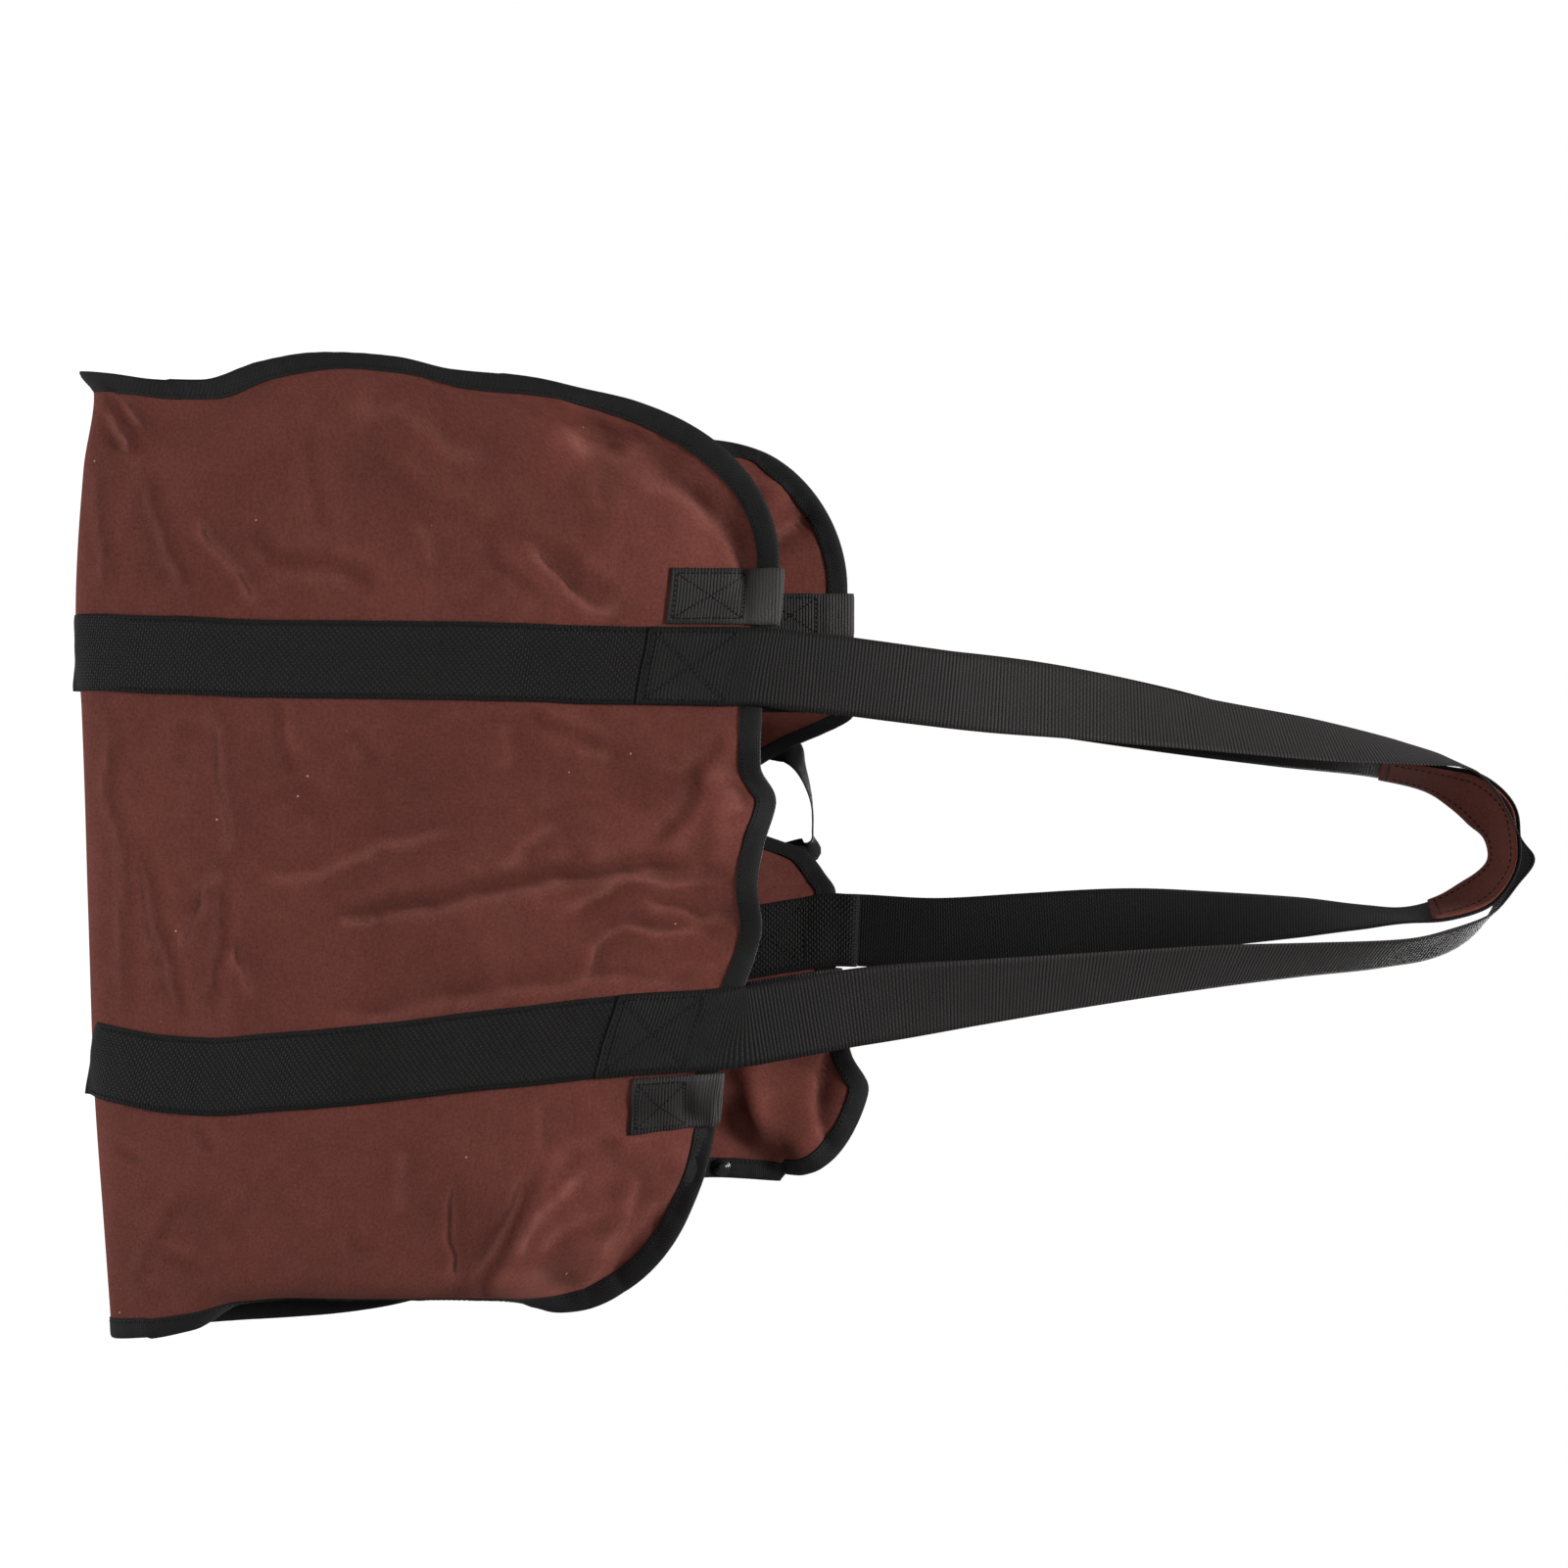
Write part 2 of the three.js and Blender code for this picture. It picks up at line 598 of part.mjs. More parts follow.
// A place on the faceted canvas: flat x, and place, moved out along the normal.
function onCanvas(x, place, offset) {
  const find = (list, value) => {
    let i = 0;
    while (i < list.length - 2 && value > list[i + 1]) i += 1;
    return [i, Math.min(Math.max((value - list[i]) / (list[i + 1] - list[i]), 0), 1)];
  };
  const [j, s] = find(columns, x);
  const [i, t] = find(places, place);
  const blend = (list) => {
    const [a, b, c, d] = [0, 1, wide, wide + 1].map((k) => list[i * wide + j + k]);
    const corner = s > t ? b : c;
    const shares = s > t ? [s, t] : [t, s];
    const first = corner.clone().sub(a).multiplyScalar(shares[0]);
    const second = d.clone().sub(corner).multiplyScalar(shares[1]);
    return first.add(second).add(a);
  };
  return blend(canvas_points).addScaledVector(blend(canvas_normals).normalize(), offset);
}

// Webbing

const first_layer = canvas_thickness / 2 + gap + webbing_thickness / 2;
const handle_layer = first_layer + gap + webbing_thickness;
const binding_lift = 2 * gap + binding_thickness; // of a layer where it passes over the binding
const tab_rise = { front: edge_step + front_tab_rise, back: edge_step + back_tab_rise };
const end_lift = 0.5; // of a leg's free end

function liftAt(place) {
  return Math.abs(place) >= 1 ? binding_lift : 0;
}

// Place on a panel at a distance below its cut edge.
function placeBelowEdge(x, name, distance) {
  return panels[name].sign * (1 - (distance - binding_width) / innerLength(x, name));
}

// Rows of a leg on one face of a panel, from its lower end up to the cut edge. face is 1 for the
// outside and -1 for the inside.
function legRows(xs, name, length, layer, face) {
  const sign = panels[name].sign;
  const end = placeBelowEdge(xs[(xs.length - 1) / 2], name, length);
  const between = places.filter((place) => place * sign > end * sign + least_step);
  const list = [end, ...(sign < 0 ? between.reverse() : between)];
  return list.map((place) => {
    const offset = layer + (place === end ? end_lift : liftAt(place));
    return { place, points: xs.map((x) => onCanvas(x, place, face * offset)) };
  });
}

// A wall through rows of points. Rows that lie on the canvas follow the diagonals of its quads.
function ribbon(rows, thickness) {
  const flips = rows.slice(1).map((row, i) => {
    const from = rows[i];
    if (from.place === undefined || row.place === undefined) return false;
    const across = from.points[from.points.length - 1].x - from.points[0].x;
    return (row.place - from.place) * across < 0;
  });
  const quads = gridQuads(rows.length, rows[0].points.length, flips);
  return wall(rows.flatMap((row) => row.points), quads, thickness);
}

function strip(centre, width) {
  return [centre - width / 2, centre, centre + width / 2];
}

function handleDrop(name) {
  return name === "front" ? handle_drop : -(bottom_z + back_height);
}

// Depth of a panel's top edge at the straps.
function panelDepth(name) {
  const place = edge_place * panels[name].sign;
  const ys = [-half_spacing, half_spacing].map((x) => Math.abs(onCanvas(x, place, 0).y));
  return (ys[0] + ys[1]) / 2;
}

function handlePoint(row, name) {
  const y = panels[name].sign * row.depth * panelDepth(name);
  return new THREE.Vector3(row.across * half_spacing, y, -row.down * handleDrop(name));
}

// Directions at the top edge of a strap: up, in line with the free stretch of the handle, and out.
const handle_rows = { front: front_handle_rows, back: back_handle_rows };
function edgeFrame(side, name) {
  const rows = handle_rows[name];
  const from = onCanvas(side * half_spacing, edge_place * panels[name].sign, handle_layer + binding_lift);
  const rise = handlePoint(side < 0 ? rows[0] : rows[rows.length - 1], name).sub(from).normalize();
  const across = new THREE.Vector3(1, 0, 0).addScaledVector(rise, -rise.x).normalize();
  const out = new THREE.Vector3().crossVectors(rise, across).multiplyScalar(panels[name].sign);
  return { rise, across, out };
}

// Rows beyond the top edge have places beyond it, in the order of their rise.
function raisedPlace(name, rise) {
  return panels[name].sign * (edge_place + rise / canvas_width);
}

// A row beyond the top edge, held square to the handle's line.
function raisedRow(xs, name, rise, offset) {
  const middle = xs[(xs.length - 1) / 2];
  const frame = edgeFrame(Math.sign(middle), name);
  const centre = onCanvas(middle, edge_place * panels[name].sign, 0);
  centre.addScaledVector(frame.rise, rise).addScaledVector(frame.out, offset);
  const points = xs.map((x) => centre.clone().addScaledVector(frame.across, x - middle));
  return { place: raisedPlace(name, rise), points };
}

// A row beyond the top edge that follows the edge, straight above it.
function followingRow(xs, name, rise, offset) {
  const sign = panels[name].sign;
  return {
    place: raisedPlace(name, rise),
    points: xs.map((x) => {
      const edge = onCanvas(x, edge_place * sign, 0);
      const up = edge.clone().sub(onCanvas(x, sign, 0)).setX(0).normalize();
      const out = new THREE.Vector3(0, up.z, -up.y).multiplyScalar(sign);
      return edge.addScaledVector(up, rise).addScaledVector(out, offset);
    }),
  };
}

// Rows of the fold over the top edge, from the outside to the inside.
function foldRows(xs, name, rise, layer, makeRow) {
  const radius = layer + binding_lift;
  return [90, 45, 0, -45, -90].map((angle) => {
    const up = rise + radius * Math.cos(angle * radians);
    return makeRow(xs, name, up, radius * Math.sin(angle * radians));
  });
}

// A body strap: turned in at the front, down the outside, round the bottom, up the back, turned in.
function strapGeometry(centre) {
  const xs = strip(centre, webbing_width);
  const inside = (name) => legRows(xs, name, strap_tab, first_layer, -1);
  const raised = (name) => [
    raisedRow(xs, name, edge_step, first_layer + binding_lift),
    ...foldRows(xs, name, tab_rise[name], first_layer, raisedRow),
    raisedRow(xs, name, edge_step, -first_layer - binding_lift),
  ];
  const outside = places.map((place) => ({
    place,
    points: xs.map((x) => onCanvas(x, place, first_layer + liftAt(place))),
  }));
  const rows = [
    ...inside("front"),
    ...raised("front").reverse(),
    ...outside,
    ...raised("back"),
    ...inside("back").reverse(),
  ];
  return ribbon(rows, webbing_thickness);
}
add("body_strap_left", strapGeometry(-half_spacing), colours.webbing, webbing_finish);
add("body_strap_right", strapGeometry(half_spacing), colours.webbing, webbing_finish);

// A side loop: a short strip turned over the top edge beside a strap.
const loop_centre = strap_outer + loop_spacing + loop_width / 2;
function sideLoopGeometry({ panel, side, leg }) {
  const xs = strip(side === "left" ? -loop_centre : loop_centre, loop_width);
  const rows = [
    ...legRows(xs, panel, leg, first_layer, 1),
    ...foldRows(xs, panel, loop_rise[panel], first_layer, followingRow),
    ...legRows(xs, panel, leg, first_layer, -1).reverse(),
  ];
  return ribbon(rows, webbing_thickness);
}
for (const row of loop_rows) {
  add(`side_loop_${row.panel}_${row.side}`, sideLoopGeometry(row), colours.webbing, webbing_finish);
}

// The handles

// Rows along a smooth curve through a route's points, turned as the turns beside them say.
function freeRows(route, turns, steps, half) {
  const curve = new THREE.CatmullRomCurve3(route, false, "centripetal");
  const table = turns.map((turn, along) => ({ along, turn }));
  return spread(0, 1, steps).slice(0, -1).map((t) => {
    const turn = read(table, "along", t * (route.length - 1), "turn") * radians;
    const across = new THREE.Vector3(Math.cos(turn), -Math.sin(turn), 0);
    const ahead = curve.getTangent(t);
    across.addScaledVector(ahead, -across.dot(ahead)).normalize();
    const centre = curve.getPoint(t);
    return { points: [-1, 0, 1].map((side) => centre.clone().addScaledVector(across, side * half)) };
  });
}

// Rows of a handle from the left strap over the grip to the right one, and the free ones of them.
function handleRows(name) {
  const [left, right] = [-1, 1].map((side) => {
    const xs = strip(side * half_spacing, webbing_width);
    const clear = tab_rise[name] + handle_layer + binding_lift;
    return [
      ...legRows(xs, name, handle_overlap, handle_layer, 1),
      ...[edge_step, clear].map((rise) => raisedRow(xs, name, rise, handle_layer + binding_lift)),
    ];
  });
  const middle = [left, right].map((rows) => rows[rows.length - 1].points[1]);
  const table = handle_rows[name];
  const route = [middle[0], ...table.map((row) => handlePoint(row, name)), middle[1]];
  const flat = name === "front" ? [0, 180] : [180, 0];
  const turns = [flat[0], ...table.map((row) => row.turn), flat[1]];
  const free = freeRows(route, turns, free_steps, half_webbing);
  const turned = (rows) => rows.map(({ place, points }) => ({ place, points: [...points].reverse() }));
  const ends = name === "front" ? [left, turned(right)] : [turned(left), right];
  return { rows: [...ends[0], ...free, ...ends[1].reverse()], free };
}

for (const name of ["front", "back"]) {
  add(`handle_${name}`, ribbon(handleRows(name).rows, webbing_thickness), colours.webbing, webbing_finish);
}

// Canvas on the underside of the inner handle's top
function gripLiningGeometry() {
  const gripped = handleRows("back").free.filter(({ points }) => {
    const reach = points[1].x < 0 ? grip_reach.left : grip_reach.right;
    return points[1].z > -reach * handleDrop("back");
  });
  const under = vertexNormals(gripped.flatMap((row) => row.points), gridQuads(gripped.length, 3));
  const inward = webbing_thickness / 2 + gap + grip_thickness / 2;
  const lining = gripped.map(({ points }, i) => ({
    points: points.map((p, j) => {
      const narrowed = points[1].clone().lerp(p, grip_width / webbing_width);
      return narrowed.addScaledVector(under[i * 3 + j], inward);
    }),
  }));
  return ribbon(lining, grip_thickness);
}
add("grip_lining", gripLiningGeometry(), colours.canvas, cloth_finish);

// The hanging loop: a tape across the fold in the middle of the back panel's top edge

function hangLoopGeometry() {
  const legs = hang_legs.map((x) => legRows(strip(x, hang_tape_width), "back", hang_leg, hang_layer, 1));
  const [from, to] = legs.map((rows) => rows[rows.length - 1].points[1]);
  const route = [from];
  for (const row of hang_rows) {
    const p = from.clone().lerp(to, row.along);
    p.z += row.rise * hang_rise;
    route.push(p);
  }
  route.push(to);
  const turns = [0, ...hang_rows.map((row) => row.turn), 180];
  const free = freeRows(route, turns, hang_steps, hang_tape_width / 2);
  const turned = legs[1].map(({ place, points }) => ({ place, points: [...points].reverse() }));
  return ribbon([...legs[0], ...free, ...turned.reverse()], hang_tape_thickness);
}
add("hang_loop", hangLoopGeometry(), colours.webbing, webbing_finish);

// The press stud: a domed cap on the inside of the binding at the back panel's right edge

function studGeometry() {
  const radius = stud_diameter / 2;
  const profile = stud_rows.map(({ out, up }) => new THREE.Vector2(radius * out, stud_height * up));
  return new THREE.LatheGeometry(profile, stud_sides);
}
const stud = add("snap_stud", studGeometry(), colours.metal, stud_finish);
const stud_row = places.findIndex((place) => place >= stud_place);
const stud_pair = [sideIndex(1, stud_row), stud_row * wide + wide - 1];
const stud_out = new THREE.Vector3();
for (const k of stud_pair) stud_out.sub(canvas_normals[k]);
stud_out.normalize();
const stud_layer = canvas_thickness / 2 + 2 * gap + binding_thickness + stud_clearance;
stud.position.copy(canvas_points[stud_pair[0]]).lerp(canvas_points[stud_pair[1]], 0.5);
stud.position.addScaledVector(stud_out, stud_layer);
stud.quaternion.setFromUnitVectors(new THREE.Vector3(0, 1, 0), stud_out);

export default carrier;
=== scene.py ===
# Looks of a canvas log carrier that hangs by its two handles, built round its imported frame.
#
# Lengths in the tables and functions are millimetres and become metres when a mesh is made. +Z is
# up, +X runs across the width and -Y points at the front panel. The origin is on the underside of
# the inner grip. The camera is level and rolled, so that +Z is to the right of the picture.
import math

import bpy
import numpy as np
from mathutils import Matrix, Vector


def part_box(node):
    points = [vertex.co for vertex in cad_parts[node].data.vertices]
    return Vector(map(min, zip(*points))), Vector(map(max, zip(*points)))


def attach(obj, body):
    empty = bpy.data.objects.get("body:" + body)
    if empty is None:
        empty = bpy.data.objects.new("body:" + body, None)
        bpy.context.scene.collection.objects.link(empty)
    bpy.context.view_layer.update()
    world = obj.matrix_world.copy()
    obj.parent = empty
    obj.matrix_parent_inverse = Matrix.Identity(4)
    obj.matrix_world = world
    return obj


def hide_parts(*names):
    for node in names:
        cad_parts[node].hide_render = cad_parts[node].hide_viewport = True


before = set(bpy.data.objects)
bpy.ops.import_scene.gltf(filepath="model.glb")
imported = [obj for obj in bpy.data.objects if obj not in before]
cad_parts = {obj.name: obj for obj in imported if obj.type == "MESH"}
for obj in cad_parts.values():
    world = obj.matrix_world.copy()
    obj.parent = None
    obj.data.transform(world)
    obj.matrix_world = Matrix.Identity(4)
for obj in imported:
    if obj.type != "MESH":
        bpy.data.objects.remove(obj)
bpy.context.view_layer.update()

# Camera
IMAGE_SIZE = 1601
FOCAL_PIXELS = 1500 / 0.62
camera_place = (-0.051, -1.56, -0.472)
camera_data = bpy.data.cameras.new("camera")
camera_data.sensor_width = 36
camera_data.lens = 36 * FOCAL_PIXELS / IMAGE_SIZE
camera = bpy.data.objects.new("camera", camera_data)
bpy.context.scene.collection.objects.link(camera)
camera_axes = [Vector((0, 0, 1)), Vector((-1, 0, 0)), Vector((0, -1, 0))]
camera.matrix_world = Matrix.Translation(camera_place) @ Matrix(camera_axes).transposed().to_4x4()
bpy.context.scene.camera = camera

SKY_LIGHT = 0.34

# Sizes
canvas_width = 630
front_height = 450
back_height = 510
corner_radius = 115
canvas_thickness = 1.5
fold_height = 42
fold_depth = 27
front_lean = 38
back_lean = 60
side_pinch = 0.45
webbing_width = 50
webbing_thickness = 1.6
strap_spacing = 266
strap_tab = 75
edge_step = 13
tab_rise = {"front": 46, "back": 14.5}
handle_overlap = 78
handle_drop = 487
grip_thickness = 1.5
grip_width = 47
binding_width = 12.5
binding_thickness = 0.8
binding_seam = 10
loop_width = 36
loop_spacing = 2
loop_rise = {"front": 0.4, "back": 2}
hang_tape_width = 20
hang_tape_thickness = 1.2
hang_leg = 22
hang_rise = 16
hang_legs = (-0.47, 0.39)
stud_diameter = 12
stud_height = 4
stud_place = 0.83
gap = 0.4
pucker = 11
pucker_fade = 95
back_fold = 58
back_fold_fade = 150
roll_width = 36

half_width = canvas_width / 2
half_spacing = strap_spacing / 2
half_webbing = webbing_width / 2
strap_inner = half_spacing - half_webbing
strap_outer = half_spacing + half_webbing
corner_start = half_width - corner_radius
bottom_z = -(handle_drop + front_height)
first_layer = canvas_thickness / 2 + gap + webbing_thickness / 2
handle_layer = first_layer + gap + webbing_thickness
binding_lift = 2 * gap + binding_thickness


def table(columns, *rows):
    """A table's rows as dicts. The names of its columns are given once, before the rows."""
    return [dict(zip(columns.split(), row)) for row in rows]


# Height of the bottom fold. across: share of the half width. rise: share of front_height.
bottom_rows = table(
    "across rise",
    (-1, 0.004),
    (-0.955, 0.026),
    (-0.8, 0.011),
    (-0.5, 0),
    (-0.3, 0.009),
    (0.1, 0.018),
    (0.45, 0.026),
    (0.75, 0.04),
    (1, 0.052),
)

# Height of the two top edges. front and back: share of that panel's height above its named height.
edge_rows = table(
    "across front back",
    (-1, 0.022, -0.012),
    (-0.635, 0.025, -0.004),
    (-0.5, 0.018, -0.004),
    (-0.34, 0, 0.006),
    (-0.2, -0.002, -0.092),
    (-0.117, 0.02, -0.142),
    (0, 0.002, -0.163),
    (0.09, -0.006, -0.126),
    (0.19, 0, -0.056),
    (0.27, -0.01, -0.034),
    (0.34, -0.025, -0.02),
    (0.5, -0.058, -0.02),
    (0.6, -0.066, -0.014),
    (0.71, -0.075, 0.003),
    (0.8, -0.08, 0.036),
    (1, -0.08, 0.034),
)
corner_drop = {"front": {"left": 0.35, "right": 0.23}, "back": {"left": 0.16, "right": 0.115}}

# Sections of each panel. height, lean: shares. left, right: side edges, share of the half width.
# left_strap, right_strap: centre lines of the straps, share of their half spacing.
front_sections = table(
    "height left left_strap right_strap right lean",
    (0, -1.02, -1.03, 0.96, 0.99, 0),
    (0.06, -1.008, -1.022, 0.99, 0.98, 0.04),
    (0.12, -0.995, -1.01, 1.02, 0.96, 0.14),
    (0.19, -0.99, -1.003, 1.03, 0.945, 0.3),
    (0.28, -1.04, -0.985, 1.0, 0.945, 0.48),
    (0.38, -1.066, -0.98, 0.97, 0.945, 0.64),
    (0.47, -1.05, -0.975, 0.94, 0.945, 0.78),
    (0.56, -1.005, -0.968, 0.9, 0.943, 0.9),
    (0.66, -0.985, -0.96, 0.86, 0.936, 0.98),
    (0.76, -0.968, -0.948, 0.82, 0.93, 1),
    (1, -0.98, -0.932, 0.767, 0.925, 0.93),
)
back_sections = table(
    "height left left_strap right_strap right lean",
    (0, -1.02, -1.03, 0.96, 0.99, 0),
    (0.06, -1.01, -1.02, 0.955, 0.98, 0.04),
    (0.15, -1.0, -1.0, 0.945, 0.975, 0.2),
    (0.3, -0.985, -0.985, 0.9, 0.965, 0.46),
    (0.45, -0.97, -0.975, 0.8, 0.915, 0.68),
    (0.6, -0.95, -0.965, 0.67, 0.76, 0.86),
    (0.75, -0.925, -0.955, 0.52, 0.665, 0.97),
    (0.88, -0.905, -0.95, 0.42, 0.69, 1),
    (1, -0.9, -0.947, 0.35, 0.7, 0.96),
)

# How far each panel's side edges are rolled back, in degrees.
front_rolls = table(
    "height left right",
    (0.06, 0, 0),
    (0.12, 0, 25),
    (0.19, 5, 95),
    (0.28, 20, 120),
    (0.38, 30, 120),
    (0.47, 20, 120),
    (0.56, 5, 110),
    (0.66, 0, 35),
    (0.76, 0, 0),
)
back_rolls = table(
    "height left right",
    (0.06, 0, 0),
    (0.15, 10, 0),
    (0.3, 25, 15),
    (0.45, 25, 30),
    (0.6, 15, 25),
    (0.75, 0, 5),
    (0.88, 0, 0),
)

# Soft dents. across, length, width: share of the half width. height: share of the panel's height.
# angle: from upright, in degrees. depth: share of dent_depth.
dent_depth = 14
dent_rows = table(
    "panel across height angle length width depth",
    ("front", -0.9, 0.22, -28, 0.3, 0.06, 0.3),
    ("front", -0.72, 0.38, 35, 0.42, 0.09, -0.3),
    ("front", -0.7, 0.75, -50, 0.4, 0.1, 0.22),
    ("front", -0.1, 0.82, 62, 0.34, 0.07, -0.34),
    ("front", 0.1, 0.66, -38, 0.4, 0.07, 0.3),
    ("front", -0.08, 0.4, 20, 0.5, 0.11, -0.3),
    ("front", 0.66, 0.34, -30, 0.4, 0.09, -0.34),
    ("front", 0.76, 0.62, 30, 0.36, 0.08, 0.3),
    ("back", -0.7, 0.7, 30, 0.4, 0.1, 0.4),
    ("back", 0.7, 0.76, -40, 0.4, 0.13, -0.4),
    ("back", 0.1, 0.45, 0, 0.6, 0.14, 0.4),
    ("back", -0.1, 0.7, 15, 0.3, 0.08, -0.35),
)

# Creases of the cloth. path: places (x across the flat sheet, rise above the bottom fold). before
# and after: how far the crease reaches to the two sides of its path. depth: outward where positive.
# All in millimetres. The first few are broad and make the panel curl back near its edge.
crease_rows = {
    "front": table(
        "path before after depth",
        ([(-290, 300), (-262, 372), (-225, 420), (-165, 452)], 24, 24, -12),
        ([(170, 415), (230, 385), (285, 330), (312, 260)], 24, 24, -12),
        ([(-75, 455), (-20, 455), (40, 455)], 16, 16, -7),
        ([(-70, 415), (-20, 410), (14, 420)], 14, 10, 3),
        ([(-299, 4), (-289, 18), (-275, 32), (-263, 42)], 4, 5, 5.0),
        ([(-305, 14), (-293, 26), (-279, 40)], 4, 4, -2.6),
        ([(-291, 8), (-277, 22), (-265, 34)], 5, 5, -3.2),
        ([(-253, 46), (-229, 58), (-203, 70), (-171, 86)], 5, 12, 3.4),
        ([(-229, 86), (-207, 98), (-187, 110), (-163, 132)], 6, 6, -3.2),
        ([(-207, 118), (-193, 144), (-187, 184), (-171, 218)], 5, 9, 3.0),
        ([(-267, 154), (-237, 162), (-207, 176)], 3, 3, 1.1),
        ([(-287, 172), (-275, 206), (-269, 236), (-253, 276)], 14, 14, -3.4),
        ([(-251, 178), (-239, 218), (-227, 256), (-205, 324)], 16, 14, 3.2),
        ([(-215, 236), (-191, 238)], 4, 4, -1.6),
        ([(-287, 304), (-293, 336), (-285, 358), (-275, 372)], 3, 4, 1.9),
        ([(-213, 280), (-191, 288), (-169, 316)], 5, 5, 1.8),
        ([(-209, 300), (-187, 318), (-175, 338), (-167, 370)], 5, 5, -3.0),
        ([(-209, 324), (-193, 338), (-181, 366)], 6, 9, 2.0),
        ([(-267, 344), (-225, 342)], 7, 7, -1.6),
        ([(-259, 414), (-245, 406)], 3, 3, -1.1),
        ([(-253, 8), (-223, 22), (-195, 26), (-167, 26)], 3, 9, 2.2),
        ([(-105, 24), (-55, 26), (1, 32), (103, 32)], 3, 11, 2.4),
        ([(-19, 36), (11, 50), (47, 60), (101, 68)], 3, 8, 2.8),
        ([(-5, 96), (19, 84), (57, 64)], 5, 5, -2.8),
        ([(1, 100), (47, 98), (99, 84)], 4, 5, 2.4),
        ([(-105, 92), (-77, 94), (-41, 100), (-5, 100)], 7, 6, -2.6),
        ([(-91, 76), (-57, 70)], 8, 8, 1.4),
        ([(49, 100), (65, 108), (85, 114)], 5, 6, -2.2),
        ([(-107, 136), (-81, 140), (-57, 150)], 5, 3, 2.2),
        ([(-87, 184), (-79, 194), (-67, 204)], 3, 3, 1.4),
        ([(-81, 188), (-71, 196)], 3, 3, -1.2),
        ([(13, 120), (3, 170), (-9, 208), (-19, 252)], 8, 7, -3.0),
        ([(37, 170), (27, 208), (21, 272), (7, 370), (13, 426)], 4, 14, 6),
        ([(41, 172), (39, 184), (37, 196)], 3, 3, -3.6),
        ([(51, 312), (31, 336), (19, 358), (25, 394), (23, 426)], 5, 7, -3.2),
        ([(-87, 428), (-57, 412), (-27, 398), (1, 374)], 6, 5, 3.2),
        ([(-49, 426), (-23, 428)], 6, 6, -2.0),
        ([(37, 366), (47, 390), (59, 404), (45, 426)], 5, 5, -2.6),
        ([(93, 330), (73, 336), (61, 356), (67, 412)], 4, 5, -2.8),
        ([(87, 332), (93, 412)], 5, 5, 2.0),
        ([(-109, 302), (-95, 314), (-77, 356)], 5, 4, 2.0),
        ([(-73, 324), (-67, 356)], 6, 6, -1.4),
        ([(13, 276), (-7, 296), (-23, 318)], 4, 4, -1.7),
        ([(-95, 286), (-61, 284)], 7, 7, -1.2),
        ([(189, 6), (195, 38)], 3, 3, 1.4),
        ([(163, 74), (181, 84)], 3, 3, 1.5),
        ([(211, 64), (245, 44), (283, 22)], 3, 3, 1.7),
        ([(263, 40), (271, 70)], 4, 4, 1.3),
        ([(259, 166), (255, 190)], 7, 7, 1.2),
        ([(189, 214), (235, 202)], 6, 6, -1.5),
        ([(209, 236), (249, 234), (293, 236)], 5, 5, -2.8),
        ([(207, 300), (245, 278), (303, 248)], 8, 12, 5.0),
        ([(211, 286), (249, 266), (289, 242)], 6, 6, -2.0),
        ([(195, 350), (209, 318), (231, 296)], 5, 5, 2.4),
        ([(217, 324), (237, 298), (271, 274)], 3, 3, -2.2),
        ([(233, 340), (251, 314), (269, 288)], 4, 4, -2.2),
        ([(221, 358), (251, 346), (283, 320)], 5, 6, -2.4),
        ([(163, 300), (203, 298)], 3, 3, -1.0),
        ([(104, 150), (98, 260), (92, 340), (92, 430)], 50, 12, -6),
    ),
    "back": table(
        "path before after depth",
        ([(190, 500), (250, 490), (310, 430)], 42, 42, -11),
        ([(-280, 460), (-262, 420), (-225, 390)], 7, 10, -5),
        ([(-262, 482), (-230, 442), (-180, 420)], 8, 8, 4),
        ([(-90, 450), (-60, 380), (-20, 300)], 9, 12, 3.5),
        ([(30, 440), (60, 380), (90, 330)], 9, 9, -3),
        ([(186, 440), (235, 420), (290, 430)], 9, 12, -5),
        ([(196, 500), (240, 470), (300, 470)], 8, 8, 4),
        ([(-230, 40), (0, 46), (210, 44)], 4, 11, 2.2),
        ([(-200, 120), (-130, 180), (-60, 270)], 8, 13, 3.4),
        ([(60, 110), (110, 180), (180, 250)], 9, 9, -3),
        ([(-90, 150), (0, 170), (70, 215)], 6, 10, 2.8),
        ([(200, 90), (240, 190), (225, 300)], 8, 8, -3),
        ([(-290, 220), (-230, 260), (-190, 340)], 7, 9, 3),
        ([(-40, 90), (20, 110), (90, 95)], 5, 5, -2),
        ([(-250, 100), (-210, 70), (-170, 60)], 5, 6, 2.4),
    ),
}
crease_gain = {"front": 1.55, "back": 1.7}

# Where the front panel's lower right corner is folded back: a line on the flat sheet, and how far
# the cloth beyond it falls back, over what width.
corner_fold = dict(start=(207, 300), end=(303, 248), width=80, depth=-38)

